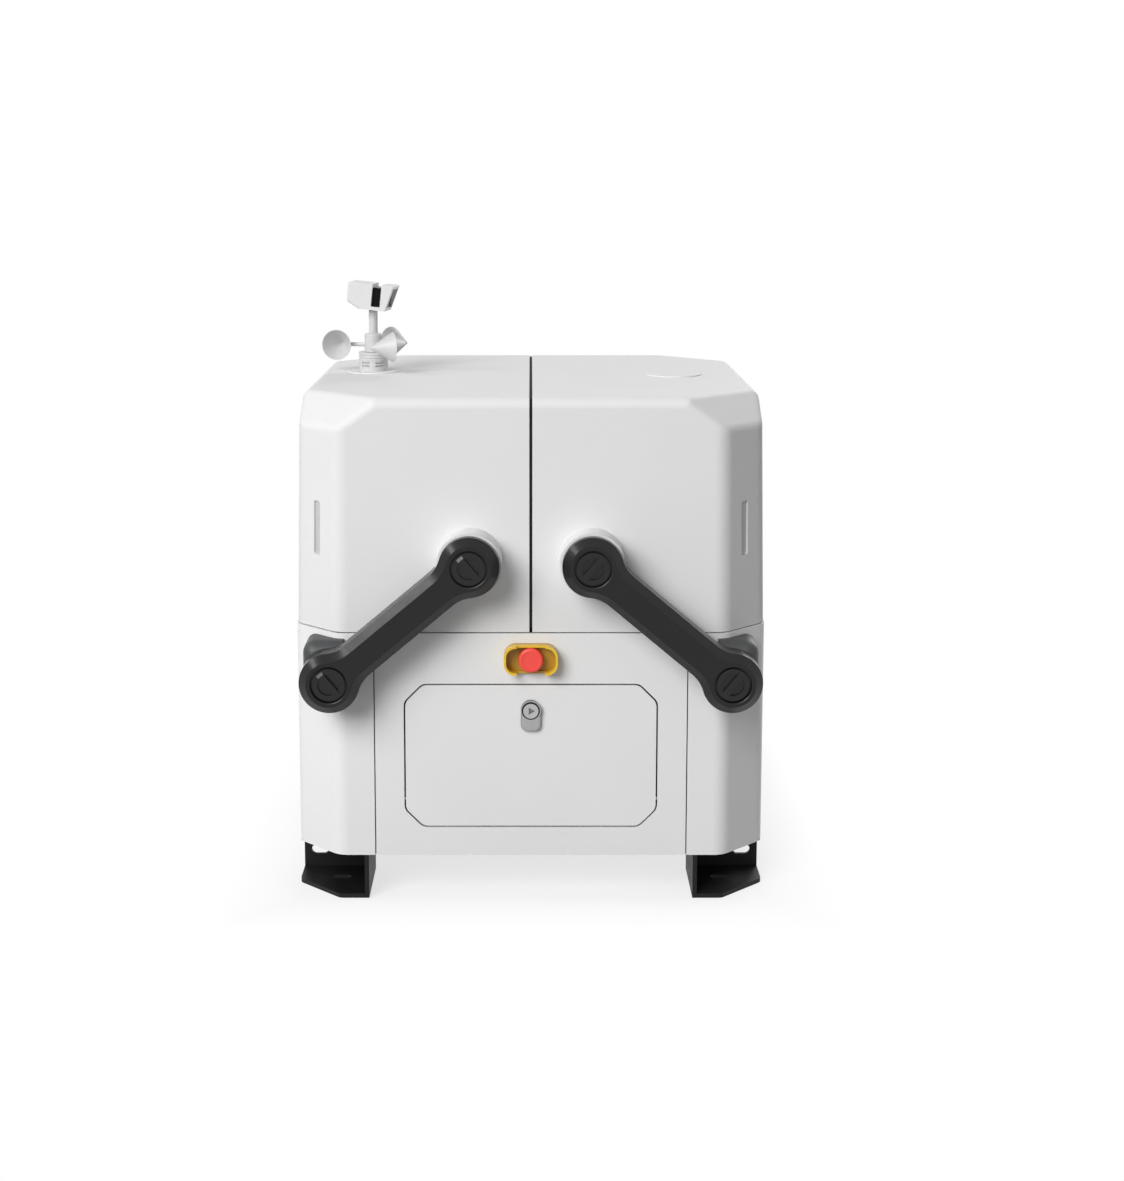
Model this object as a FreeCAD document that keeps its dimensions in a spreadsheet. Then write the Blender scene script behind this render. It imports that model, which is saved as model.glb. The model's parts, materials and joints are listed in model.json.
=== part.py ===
import FreeCAD, Part
import math
import os
from types import SimpleNamespace

import Sketcher
from FreeCAD import Placement, Rotation, Vector

# Docking station for a small aircraft: a base cabinet on four floor brackets and two half covers.
# Each cover hangs on a front and a rear crank arm and stays level while the arms swing outwards.
# Frame: origin on the floor under the middle, +Z up, front at -Y, millimetres.

# Driving dimensions, in millimetres
SIZES = {
    # base cabinet
    "body_width": 640,
    "body_depth": 616,
    "foot_height": 61,
    "base_height": 308,
    "corner_cut": 60,
    "corner_round": 30,
    "shell_wall": 5,
    "panel_seam_x": 210.5,
    "panel_seam": 1.6,
    "seam_gap": 1.6,
    "pan_sheet": 3,
    "pan_lip": 24,
    "deck_drop": 6,
    "deck_sheet": 4,
    "deck_lip": 20,
    "rim_seal_width": 7,
    # landing pad
    "pad_width": 430,
    "pad_height": 8,
    "pad_corner": 60,
    "ramp_length": 150,
    "ramp_depth": 46,
    "ramp_height": 24,
    "ramp_lip": 3,
    "ramp_place": 190,
    "contact_length": 60,
    "contact_width": 14,
    "contact_height": 3,
    "contact_pitch": 44,
    # covers
    "cover_height": 314.4,
    "cover_inset": 1.5,
    "cover_taper": 6,
    "cover_wall": 5,
    "cover_lip_width": 12,
    "cover_lip_height": 5,
    "split_gap": 4,
    "bevel_drop": 41,
    "top_round": 15,
    "split_seal_width": 9,
    "split_seal_height": 7,
    "split_seal_gap": 0.6,
    "light_width": 12,
    "light_height": 73,
    "light_rise": 101,
    "light_depth": 9,
    "light_recess": 2.5,
    "light_round": 3.5,
    "top_pad_radius": 40,
    "top_pad_height": 1.5,
    "top_pad_inset": 86.5,
    "top_pad_y": 37,
    "spare_pad_inset": 111,
    "spare_pad_y": -9,
    # crank arms and their drive
    "low_pivot_inset": 55,
    "low_pivot_drop": 54,
    "high_pivot_x": 81,
    "high_pivot_rise": 100.5,
    "arm_standoff": 22.5,
    "arm_thick": 42,
    "arm_head_thick": 22,
    "arm_head_gap": 3,
    "arm_hub_radius": 40,
    "arm_bar_width": 50,
    "arm_neck_round": 46,
    "arm_bevel": 10,
    "arm_wall": 6,
    "arm_web": 12,
    "cap_seat_radius": 24,
    "cap_seat_depth": 7,
    "cap_seat_round": 2,
    "cap_radius": 21.5,
    "cap_thick": 5,
    "cap_dish_radius": 14.5,
    "cap_dish_depth": 3,
    "cap_bar_width": 9,
    "cap_bar_proud": 1.8,
    "cap_bar_slope": 4,
    "shaft_radius": 10,
    "shaft_short": 0.5,
    "running_gap": 0.05,
    "clear_gap": 0.3,
    "boss_radius": 43,
    "boss_flare": 15,
    "axle_flange_radius": 22,
    "axle_flange": 6,
    "pulley_radius": 14,
    "pulley_length": 8.4,
    "belt_thick": 3,
    "belt_width": 7,
    "housing_outer_inset": 16,
    "housing_inner_inset": 70,
    "housing_top_drop": 7,
    "housing_round": 17,
    "housing_hub_radius": 38,
    "housing_gap": 1,
    "bearing_radius": 16,
    "motor_box_width": 68,
    "motor_box_depth": 84,
    "motor_box_height": 78,
    "motor_radius": 27,
    "motor_length": 105,
    # cabinet door and its lock
    "door_width": 342,
    "door_drop": 69,
    "door_rise": 39,
    "door_gap": 2.2,
    "door_cut": 25,
    "door_round": 15,
    "door_sheet": 4,
    "door_rib_inset": 14,
    "door_rib": 4,
    "door_rib_depth": 5,
    "hinge_back": 8,
    "hinge_rise": 36,
    "hinge_knuckle": 5,
    "hinge_pin_radius": 2.5,
    "hinge_lug": 6,
    "lock_drop": 104.6,
    "lock_width": 27,
    "lock_tail": 29,
    "lock_proud": 7,
    "lock_round": 4,
    "lock_face_radius": 10.2,
    "lock_ring_gap": 2,
    "lock_face_proud": 1.5,
    "lock_face_thick": 5,
    "lock_stem_radius": 7,
    "lock_sleeve_radius": 9.5,
    "lock_sleeve_depth": 9,
    "lock_key_hole": 3.5,
    "cam_length": 43.5,
    "cam_width": 15,
    "cam_sheet": 3,
    "cam_back": 15,
    # emergency stop
    "stop_drop": 33,
    "guard_width": 72,
    "guard_height": 40,
    "guard_round": 16,
    "guard_wall": 3,
    "guard_proud": 20,
    "guard_notch": 38,
    "guard_notch_step": 6,
    "stop_neck_radius": 11,
    "stop_neck": 4,
    "stop_block_width": 32,
    "stop_block_depth": 44,
    "stop_stem_radius": 6,
    "stop_travel": 4,
    "stop_head_radius": 16.5,
    "stop_head_thick": 9.5,
    "stop_head_round": 3,
    "stop_head_proud": 18.5,
    "stop_face_radius": 11.5,
    "stop_face_dish": 0.8,
    # floor brackets
    "bracket_width": 100,
    "bracket_depth": 115,
    "bracket_sheet": 6,
    "bracket_setback": 40,
    "bracket_round": 12,
    "anchor_inset_x": 55,
    "anchor_inset_y": 66,
    "anchor_radius": 6.5,
    "anchor_slot": 30,
    "strap_slot_inset": 22,
    "strap_slot_rise": 30,
    "strap_slot_width": 24,
    "strap_slot_height": 14,
    "bolt_radius": 4,
    "bolt_head_radius": 7,
    "bolt_head": 5,
    "bolt_pitch": 60,
    # things inside the base
    "cabinet_width": 384,
    "cabinet_depth": 150,
    "cabinet_sheet": 2.5,
    "cabinet_gap": 2,
    "supply_width": 110,
    "supply_depth": 55,
    "supply_height": 150,
    "control_width": 130,
    "control_depth": 40,
    "control_height": 120,
    "battery_width": 90,
    "battery_depth": 62,
    "battery_height": 96,
    "cooler_width": 170,
    "cooler_depth": 110,
    "cooler_height": 170,
    "cooler_rise": 60,
    "cooler_ring": 30,
    "fan_radius": 62,
    "fan_hub_radius": 22,
    "fan_depth": 20,
    "fan_tip_gap": 3,
    "fan_axle_radius": 5,
    "fan_blade_sheet": 3,
    "vent_width": 130,
    "vent_slot": 7,
    "vent_pitch": 15,
    "gland_radius": 11,
    "gland_nut_radius": 15,
    "gland_proud": 22,
    "gland_nut": 9,
    "gland_bore_radius": 6,
    "gland_rise": 50,
    "gland_x": 150,
    "gland_pitch": 44,
    # wind gauge and camera
    "gauge_base_radius": 21,
    "gauge_base_height": 16,
    "gauge_slot_height": 2.6,
    "gauge_slot_depth": 3,
    "gauge_ring_radius": 22,
    "gauge_ring_height": 12,
    "gauge_groove": 1.2,
    "rotor_hub_radius": 13.25,
    "rotor_hub_height": 27,
    "rotor_gap": 0.5,
    "cup_radius": 22.5,
    "cup_depth": 34,
    "cup_wall": 1.6,
    "cup_reach": 52,
    "cup_rise": 10,
    "cup_arm_radius": 3,
    "pole_radius": 6.5,
    "pole_height": 67,
    "pole_seat": 12,
    "camera_length": 69,
    "camera_width": 44,
    "camera_height": 38,
    "camera_rear": 37,
    "camera_bezel": 18.5,
    "camera_visor": 10,
    "camera_glass": 8,
    "camera_core_inset": 5,
    "camera_shell": 3,
    "camera_chin": 18,
    "camera_seat": 3.5,
    "lens_radius": 8,
}

# Counts and angles
FAN_BLADES = 7
VENT_SLOTS = 7
GAUGE_SLOTS = 6
GAUGE_SLOT_SHARE = 0.62
CUP_ANGLES = (168, 288, 48)
CAMERA_YAW = -8
CAMERA_PITCH = 6
ROOT_HALF = math.sqrt(0.5)
SIDES = {"left": -1, "right": 1}
ENDS = {"front": -1, "rear": 1}

doc = FreeCAD.newDocument("docking_station")
sheet = doc.addObject("Spreadsheet::Sheet", "dims")
for row, (alias, number) in enumerate(SIZES.items(), 1):
    sheet.set(f"A{row}", str(number))
    sheet.setAlias(f"A{row}", alias)
doc.recompute()


class Size:
    """A length worked out from sheet cells: the formula for the document, and its value now."""

    def __init__(self, formula, value):
        self.formula = formula
        self.value = value

    def __add__(self, other):
        return joined(self, "+", other)

    def __radd__(self, other):
        return joined(other, "+", self)

    def __sub__(self, other):
        return joined(self, "-", other)

    def __rsub__(self, other):
        return joined(other, "-", self)

    def __mul__(self, other):
        return joined(self, "*", other)

    def __rmul__(self, other):
        return joined(other, "*", self)

    def __truediv__(self, other):
        return joined(self, "/", other)

    def __neg__(self):
        return joined(0, "-", self)


def as_size(number):
    """A plain number as a Size; a Size as it is."""
    if isinstance(number, Size):
        return number
    return Size(f"({float(number)!r})", float(number))


def joined(left, sign, right):
    """Two sizes joined by an arithmetic sign."""
    left, right = as_size(left), as_size(right)
    if sign == "+":
        value = left.value + right.value
    elif sign == "-":
        value = left.value - right.value
    elif sign == "*":
        value = left.value * right.value
    else:
        value = left.value / right.value
    return Size(f"({left.formula} {sign} {right.formula})", value)


def hypotenuse(first, second):
    """The length of the long side over two square sides."""
    total = first * first + second * second
    return Size(f"sqrt({total.formula})", math.sqrt(total.value))


dim = SimpleNamespace(**{alias: Size(f"dims.{alias}", float(sheet.get(alias))) for alias in SIZES})

# Places worked out from the driving dimensions
half_width = dim.body_width / 2
half_depth = dim.body_depth / 2
base_bottom = dim.foot_height
base_top = base_bottom + dim.base_height
cover_bottom = base_top + dim.seam_gap
cover_top = cover_bottom + dim.cover_height
deck_top = base_top - dim.deck_drop
deck_under = deck_top - dim.deck_sheet
panel_half = dim.panel_seam_x - dim.panel_seam / 2
shell_start = dim.panel_seam_x + dim.panel_seam / 2
panel_inner = half_depth - dim.shell_wall
low_pivot_z = base_top - dim.low_pivot_drop
high_pivot_z = base_top + dim.high_pivot_rise
arm_rise = high_pivot_z - low_pivot_z
low_pivot_x = half_width - dim.low_pivot_inset
arm_run = low_pivot_x - dim.high_pivot_x
arm_length = hypotenuse(arm_run, arm_rise)
arm_angle = math.degrees(math.atan2(arm_rise.value, arm_run.value))
housing_face = dim.arm_standoff - dim.housing_gap
arm_front = dim.arm_standoff + dim.arm_thick
cap_floor = arm_front - dim.cap_seat_depth
cavity_end = arm_front - dim.arm_web
head_back = arm_front - dim.arm_head_thick
boss_end = head_back - dim.housing_gap
pulley_start = head_back + (dim.arm_head_thick - dim.arm_web - dim.pulley_length) / 2
bore_radius = dim.shaft_radius + dim.running_gap
door_bottom = base_bottom + dim.door_rise
door_top = base_top - dim.door_drop
hinge_y = dim.hinge_back - half_depth
hinge_z = door_bottom + dim.door_gap + dim.hinge_rise
lock_z = base_top - dim.lock_drop
stop_z = base_top - dim.stop_drop
pad_top = deck_top + dim.pad_height
mast_x = dim.top_pad_inset - half_width

NODES = []


def bind(thing, prop, size):
    """Tie a property of an object to the sheet."""
    thing.setExpression(prop, as_size(size).formula)


def keep(thing, node):
    """Give a finished sub-part its node name and list it."""
    thing.Label = node
    NODES.append(thing)
    return thing


def place(thing, x, y, z, turn=Rotation()):
    """Turn a thing and tie its position to the sheet."""
    thing.Placement = Placement(Vector(), turn)
    for axis, size in (("x", x), ("y", y), ("z", z)):
        bind(thing, f"Placement.Base.{axis}", size)
    return thing


def span(sign, near, far):
    """Two limits on the positive or the negative side, lower one first."""
    return (near, far) if sign > 0 else (-as_size(far), -as_size(near))


def box(name, x, y, z):
    """A block between two limits along each axis."""
    block = doc.addObject("Part::Box", name)
    for prop, axis, (low, high) in (("Length", "x", x), ("Width", "y", y), ("Height", "z", z)):
        bind(block, prop, as_size(high) - low)
        bind(block, f"Placement.Base.{axis}", low)
    return block


AXIS_TURN = {
    "x": Rotation(Vector(0, 1, 0), 90),
    "y": Rotation(Vector(1, 0, 0), -90),
    "z": Rotation(),
}


def along(axis, distance, at):
    """The point at a distance along an axis; at gives the other two coordinates in order."""
    others = list(at)
    return [distance if letter == axis else others.pop(0) for letter in "xyz"]


def rod(name, axis, radius, limits, at):
    """A round bar along one axis."""
    low, high = limits
    bar = doc.addObject("Part::Cylinder", name)
    bind(bar, "Radius", radius)
    bind(bar, "Height", as_size(high) - low)
    return place(bar, *along(axis, low, at), AXIS_TURN[axis])


def cone(name, axis, radii, limits, at):
    """A round taper along one axis, from the radius at the low limit to that at the high one."""
    low, high = limits
    taper = doc.addObject("Part::Cone", name)
    bind(taper, "Radius1", radii[0])
    bind(taper, "Radius2", radii[1])
    bind(taper, "Height", as_size(high) - low)
    return place(taper, *along(axis, low, at), AXIS_TURN[axis])


def fuse(name, *pieces):
    """Several forms made one."""
    union = doc.addObject("Part::MultiFuse", name)
    union.Shapes = list(pieces)
    union.Refine = True
    return union


def cut(name, base, *tools):
    """A form with other forms taken away."""
    tool = tools[0] if len(tools) == 1 else fuse(name + "_tools", *tools)
    difference = doc.addObject("Part::Cut", name)
    difference.Base = base
    difference.Tool = tool
    difference.Refine = True
    return difference


def common(name, first, second):
    """What two forms share."""
    shared = doc.addObject("Part::Common", name)
    shared.Base = first
    shared.Tool = second
    shared.Refine = True
    return shared


def group(node, solids):
    """Separate solids that share one node."""
    together = doc.addObject("Part::Compound", node)
    together.Links = list(solids)
    return keep(together, node)


def carried(name, form):
    """A form in a carrier of its own, to be turned and placed as a whole."""
    carrier = doc.addObject("Part::Compound", name)
    carrier.Links = [form]
    return carrier


def trimmed(kind, name, base, size, chosen):
    """The base with its chosen edges rounded or bevelled."""
    doc.recompute()
    edges = [number for number, edge in enumerate(base.Shape.Edges, 1) if chosen(edge)]
    if not edges:
        raise RuntimeError(f"{name}: no edge was chosen")
    feature = doc.addObject(kind, name)
    feature.Base = base
    feature.Edges = [(number, size.value, size.value) for number in edges]
    return feature


def rounded(name, base, radius, chosen):
    """The base with its chosen edges rounded."""
    return trimmed("Part::Fillet", name, base, radius, chosen)


def bevelled(name, base, width, chosen):
    """The base with its chosen edges bevelled."""
    return trimmed("Part::Chamfer", name, base, width, chosen)


def runs_along(edge, axis):
    """Whether an edge is straight and runs along a direction."""
    if edge.Curve.TypeId != "Part::GeomLine":
        return False
    return abs(edge.tangentAt(edge.FirstParameter).dot(axis)) > 0.999


def outline(sketch, points):
    """A closed run of straight lines whose corners are tied to the sheet."""
    corners = [(as_size(across), as_size(up)) for across, up in points]
    count = len(corners)
    turns = [corners[index - 1][0].value * corners[index][1].value
             - corners[index][0].value * corners[index - 1][1].value for index in range(count)]
    if sum(turns) < 0:
        corners.reverse()
    for index in range(count):
        start, end = corners[index], corners[(index + 1) % count]
        first = Vector(start[0].value, start[1].value, 0)
        second = Vector(end[0].value, end[1].value, 0)
        sketch.addGeometry(Part.LineSegment(first, second))
    for index in range(count):
        sketch.addConstraint(Sketcher.Constraint("Coincident", index, 2, (index + 1) % count, 1))
    for index, corner in enumerate(corners):
        for kind, size in zip(("DistanceX", "DistanceY"), corner):
            number = sketch.addConstraint(Sketcher.Constraint(kind, -1, 1, index, 1, size.value))
            sketch.setExpression(f"Constraints[{number}]", size.formula)


def add_sketch(body, name, plane, offset, points):
    """A sketch on one of a body's own origin planes, moved along that plane's normal."""
    sketch = body.newObject("Sketcher::SketchObject", name)
    support = next(item for item in body.Origin.OriginFeatures if item.Role == plane)
    sketch.AttachmentSupport = [(support, "")]
    sketch.MapMode = "FlatFace"
    bind(sketch, "AttachmentOffset.Base.z", offset)
    outline(sketch, points)
    return sketch


def prism(name, plane, points, limits):
    """An outline padded between two limits along its plane's axis."""
    low, high = (as_size(limit) for limit in limits)
    body = doc.addObject("PartDesign::Body", name)
    # The normal of the XZ plane points to -Y, so that pad starts at the high limit.
    start = -high if plane == "XZ_Plane" else low
    pad = body.newObject("PartDesign::Pad", name + "_pad")
    pad.Profile = add_sketch(body, name + "_outline", plane, start, points)
    bind(pad, "Length", high - low)
    body.Tip = pad
    return body


def octagon(inset):
    """The base's plan outline, drawn in all round by an inset: rectangle with cut corners."""
    across, back = half_width - inset, half_depth - inset
    corner = dim.corner_cut - inset * (2 - 2 * ROOT_HALF)
    quarter = [(across, back - corner), (across - corner, back)]
    points = quarter + [(-x, y) for x, y in reversed(quarter)]
    return points + [(-x, -y) for x, y in quarter] + [(x, -y) for x, y in reversed(quarter)]


def cut_rectangle(width, height, corner, centre):
    """A rectangle with cut corners about a centre."""
    right, up = width / 2, height / 2
    quarter = [(right, up - corner), (right - corner, up)]
    points = quarter + [(-x, y) for x, y in reversed(quarter)]
    points += [(-x, -y) for x, y in quarter] + [(x, -y) for x, y in reversed(quarter)]
    return [(x + centre[0], y + centre[1]) for x, y in points]


# Base cabinet

def make_floor_pan():
    """Folded sheet pan that closes the base underneath, with holes for the bracket bolts."""
    wall = dim.shell_wall
    pan = prism("pan_block", "XY_Plane", octagon(wall), (base_bottom, base_bottom + dim.pan_lip))
    well = prism("pan_well", "XY_Plane", octagon(wall + dim.pan_sheet),
                 (base_bottom + dim.pan_sheet, base_bottom + dim.pan_lip * 2))
    holes = [rod("pan_hole", "z", dim.bolt_radius + dim.clear_gap, (0, base_top), (x, y))
             for x, y in bolt_places()]
    keep(cut("pan_cut", pan, well, *holes), "base_floor_pan")


def bolt_places():
    """Plan positions of the bolts that hold the brackets under the base."""
    rear = half_depth - dim.bracket_depth + dim.bracket_setback / 2
    places = []
    for side in SIDES.values():
        for end in ENDS.values():
            for shift in (-1, 1):
                x = side * (half_width - dim.bracket_width / 2 + shift * dim.bolt_pitch / 2)
                places.append((x, end * rear))
    return places


def shell_block(name, side):
    """The solid that a side shell is hollowed from, with its upright edges rounded."""
    across, back, corner = half_width, half_depth, dim.corner_cut
    rear = [(shell_start, back), (across - corner, back), (across, back - corner)]
    points = rear + [(x, -y) for x, y in reversed(rear)]
    block = prism(name + "_form", "XY_Plane", [(side * x, y) for x, y in points],
                  (base_bottom, base_top))
    facet = half_width.value - dim.corner_cut.value

    def upright(edge):
        return runs_along(edge, Vector(0, 0, 1)) and abs(edge.CenterOfMass.x) > facet - 1

    return rounded(name, block, dim.corner_round, upright)


def make_side_shells():
    """One wrapped shell for each side, from the front seam round both corners to the rear seam."""
    wall = dim.shell_wall
    slope = wall * (2 * ROOT_HALF - 1)
    inner_x, inner_y = half_width - wall, half_depth - wall
    facet_x = half_width - dim.corner_cut - slope
    facet_y = half_depth - dim.corner_cut - slope
    rear = [(panel_half, inner_y), (facet_x, inner_y), (inner_x, facet_y)]
    points = rear + [(x, -y) for x, y in reversed(rear)]
    for side_name, side in SIDES.items():
        block = shell_block(side_name + "_shell_block", side)
        well = prism(side_name + "_shell_well", "XY_Plane", [(side * x, y) for x, y in points],
                     (0, base_top * 2))
        hole = rod(side_name + "_shell_hole", "y", dim.bearing_radius, (-half_depth * 2, half_depth * 2),
                   (side * low_pivot_x, low_pivot_z))
        keep(cut(side_name + "_shell_cut", block, well, hole), side_name + "_side_shell")


def make_front_panel():
    """Front panel with the door opening, the stop button's hole, hinge lugs and the lock's keeper."""
    inside = -panel_inner
    panel = box("front_sheet", (-panel_half, panel_half), (-half_depth, inside), (base_bottom, base_top))
    pieces = [panel]
    lug_start = dim.door_width / 2 + dim.door_gap
    knuckle = dim.hinge_knuckle
    for side in SIDES.values():
        limits = span(side, lug_start, lug_start + dim.hinge_lug)
        pieces.append(box("hinge_lug", limits, (inside, hinge_y), (hinge_z - knuckle, hinge_z + knuckle)))
        pieces.append(rod("hinge_lug_eye", "x", knuckle, limits, (hinge_y, hinge_z)))
    cam_face = dim.cam_back - half_depth
    keeper_low = door_top + dim.door_gap
    pieces.append(box("lock_keeper", (-dim.cam_width, dim.cam_width), (inside, cam_face - dim.clear_gap),
                      (keeper_low, lock_z + dim.cam_length)))
    opening_points = cut_rectangle(dim.door_width, door_top - door_bottom, dim.door_cut,
                                   (0, (door_bottom + door_top) / 2))
    opening = prism("door_opening_form", "XZ_Plane", opening_points, (-half_depth * 2, hinge_y * 0.5))
    opening = rounded("door_opening", opening, dim.door_round,
                      lambda edge: runs_along(edge, Vector(0, 1, 0)))
    bores = [rod("hinge_bore", "x", dim.hinge_pin_radius + dim.running_gap, (-half_width, half_width),
                 (hinge_y, hinge_z))]
    bores.append(rod("stop_hole", "y", dim.stop_neck_radius + dim.clear_gap, (-half_depth * 2, 0),
                     (0, stop_z)))
    keep(cut("front_panel_cut", fuse("front_panel_body", *pieces), opening, *bores), "front_panel")


def make_rear_panel():
    """Rear panel with a louvred vent before the fan and holes for the cable glands."""
    panel = box("rear_sheet", (-panel_half, panel_half), (panel_inner, half_depth), (base_bottom, base_top))
    slots = []
    for index in range(VENT_SLOTS):
        middle = fan_z() + (index - (VENT_SLOTS - 1) / 2) * dim.vent_pitch
        slots.append(box("vent_slot", (-dim.vent_width / 2, dim.vent_width / 2), (0, half_depth * 2),
                         (middle - dim.vent_slot / 2, middle + dim.vent_slot / 2)))
    for x in gland_places():
        slots.append(rod("gland_hole", "y", dim.gland_radius + dim.clear_gap, (0, half_depth * 2),
                         (x, base_bottom + dim.gland_rise)))
    keep(cut("rear_panel_cut", panel, *slots), "rear_panel")


def gland_places():
    """Positions of the two cable glands across the rear panel."""
    return dim.gland_x - dim.gland_pitch / 2, dim.gland_x + dim.gland_pitch / 2


def make_cable_glands():
    """Screwed glands for the supply and data cables: nut outside, thread through, nut inside."""
    glands = []
    z = base_bottom + dim.gland_rise
    for number, x in enumerate(gland_places(), 1):
        thread = rod("gland_thread", "y", dim.gland_radius,
                     (panel_inner - dim.gland_nut, half_depth + dim.gland_proud), (x, z))
        nuts = []
        for low, high in ((panel_inner - dim.gland_nut, panel_inner), (half_depth, half_depth + dim.gland_nut)):
            nut = doc.addObject("Part::Prism", "gland_nut")
            nut.Polygon = 6
            bind(nut, "Circumradius", dim.gland_nut_radius)
            bind(nut, "Height", high - low)
            nuts.append(place(nut, x, low, z, AXIS_TURN["y"]))
        bore = rod("gland_bore", "y", dim.gland_bore_radius, (0, half_depth * 2), (x, z))
        glands.append(cut(f"gland_{number}", fuse("gland_body", thread, *nuts), bore))
    group("cable_glands", glands)


def make_deck():
    """Folded deck that closes the base on top, landing pad, ramps, contacts and the rim seal."""
    wall = dim.shell_wall
    deck = prism("deck_block", "XY_Plane", octagon(wall), (deck_under - dim.deck_lip, deck_top))
    hollow = prism("deck_hollow", "XY_Plane", octagon(wall + dim.deck_sheet), (0, deck_under))
    notch_half = dim.stop_block_width / 2 + dim.cabinet_sheet
    notch = box("deck_stop_notch", (-notch_half, notch_half), (-half_depth, 0), (0, deck_under))
    keep(cut("deck_cut", deck, hollow, notch), "landing_deck")

    pad_points = cut_rectangle(dim.pad_width, dim.pad_width, dim.pad_corner, (0, 0))
    keep(prism("pad_body", "XY_Plane", pad_points, (deck_top, pad_top)), "landing_pad")

    ramps = []
    low, high = pad_top + dim.ramp_lip, pad_top + dim.ramp_height
    inner, outer = dim.ramp_place - dim.ramp_depth, dim.ramp_place
    for number, angle in enumerate((0, 90, 180, 270), 1):
        profile = [(inner, pad_top), (outer, pad_top), (outer, high), (outer - dim.ramp_lip, high), (inner, low)]
        ramp = prism(f"ramp_{number}", "XZ_Plane", profile, (-dim.ramp_length / 2, dim.ramp_length / 2))
        ramp.Placement = Placement(Vector(), Rotation(Vector(0, 0, 1), angle))
        ramps.append(ramp)
    group("centring_ramps", ramps)

    contacts = []
    for side_name, side in SIDES.items():
        middle = side * dim.contact_pitch / 2
        contacts.append(box(side_name + "_contact",
                            (middle - dim.contact_width / 2, middle + dim.contact_width / 2),
                            (-dim.contact_length / 2, dim.contact_length / 2),
                            (pad_top, pad_top + dim.contact_height)))
    group("charging_contacts", contacts)

    seal_top = cover_bottom - dim.clear_gap
    seal_edge = wall + dim.clear_gap
    ring = prism("seal_block", "XY_Plane", octagon(seal_edge), (deck_top, seal_top))
    middle = prism("seal_middle", "XY_Plane", octagon(seal_edge + dim.rim_seal_width), (0, seal_top * 2))
    keep(cut("seal_cut", ring, middle), "rim_seal")


# Floor brackets

def make_brackets():
    """Four floor brackets folded from plate: foot, back, inner side and a top flange under the base."""
    thick = dim.bracket_sheet
    inner_x = half_width - dim.bracket_width
    back_y = half_depth - dim.bracket_depth
    corner_x = half_width - dim.corner_cut
    corner_y = half_depth - dim.corner_cut
    foot_points = [(inner_x, back_y), (half_width, back_y), (half_width, corner_y),
                   (corner_x, half_depth), (inner_x, half_depth)]
    for side_name, side in SIDES.items():
        for end_name, end in ENDS.items():
            name = f"{end_name}_{side_name}"
            foot = prism(name + "_foot_form", "XY_Plane", [(side * x, end * y) for x, y in foot_points],
                         (0, thick))
            facet_x = corner_x.value

            def outer_corner(edge):
                at = edge.CenterOfMass
                upright = runs_along(edge, Vector(0, 0, 1))
                return upright and abs(at.x) > facet_x - 1 and abs(at.y) > back_y.value + 1

            foot = rounded(name + "_foot", foot, dim.bracket_round, outer_corner)
            across = span(side, inner_x, half_width)
            back = box(name + "_back", across, span(end, back_y, back_y + thick), (0, dim.foot_height))
            cheek = box(name + "_cheek", span(side, inner_x, inner_x + thick),
                        span(end, back_y, half_depth), (0, dim.foot_height))
            flange = box(name + "_flange", across, span(end, back_y, back_y + dim.bracket_setback),
                         (dim.foot_height - thick, dim.foot_height))
            anchor_at = (side * (half_width - dim.anchor_inset_x), end * (half_depth - dim.anchor_inset_y))
            tools = slot_tools(name + "_anchor", "z", dim.anchor_radius, dim.anchor_slot,
                               anchor_at, (-thick, thick * 2))
            strap_y = span(end, back_y - thick, back_y + thick * 2)
            tools += slot_tools(name + "_strap", "y", dim.strap_slot_height / 2, dim.strap_slot_width,
                                (side * (half_width - dim.strap_slot_inset), dim.strap_slot_rise), strap_y)
            tools += [rod(name + "_bolt_hole", "z", dim.bolt_radius + dim.clear_gap,
                          (dim.foot_height - thick * 2, dim.foot_height * 2), at)
                      for at in bolt_places()
                      if at[0].value * side > 0 and at[1].value * end > 0]
            body = fuse(name + "_plates", foot, back, cheek, flange)
            keep(cut(name + "_cut", body, *tools), name + "_bracket")


def slot_tools(name, axis, radius, length, centre, limits):
    """Forms that cut a round-ended slot lying along X."""
    reach = length / 2 - radius
    ends = [rod(name, axis, radius, limits, (centre[0] + shift * reach, centre[1])) for shift in (-1, 1)]
    flat = [(centre[0] - reach, centre[0] + reach), (centre[1] - radius, centre[1] + radius)]
    flat.insert("xyz".index(axis), limits)
    return ends + [box(name, *flat)]


def make_bracket_bolts():
    """Hexagon bolts up through the brackets' flanges and the floor pan."""
    bolts = []
    under = dim.foot_height - dim.bracket_sheet
    for number, (x, y) in enumerate(bolt_places(), 1):
        head = doc.addObject("Part::Prism", "bolt_head")
        head.Polygon = 6
        bind(head, "Circumradius", dim.bolt_head_radius)
        bind(head, "Height", dim.bolt_head)
        place(head, x, y, under - dim.bolt_head)
        shank = rod("bolt_shank", "z", dim.bolt_radius, (under - dim.bolt_head, base_bottom + dim.pan_sheet * 4),
                    (x, y))
        bolts.append(fuse(f"bracket_bolt_{number}", head, shank))
    group("bracket_bolts", bolts)


# Arm drive in the base

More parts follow.
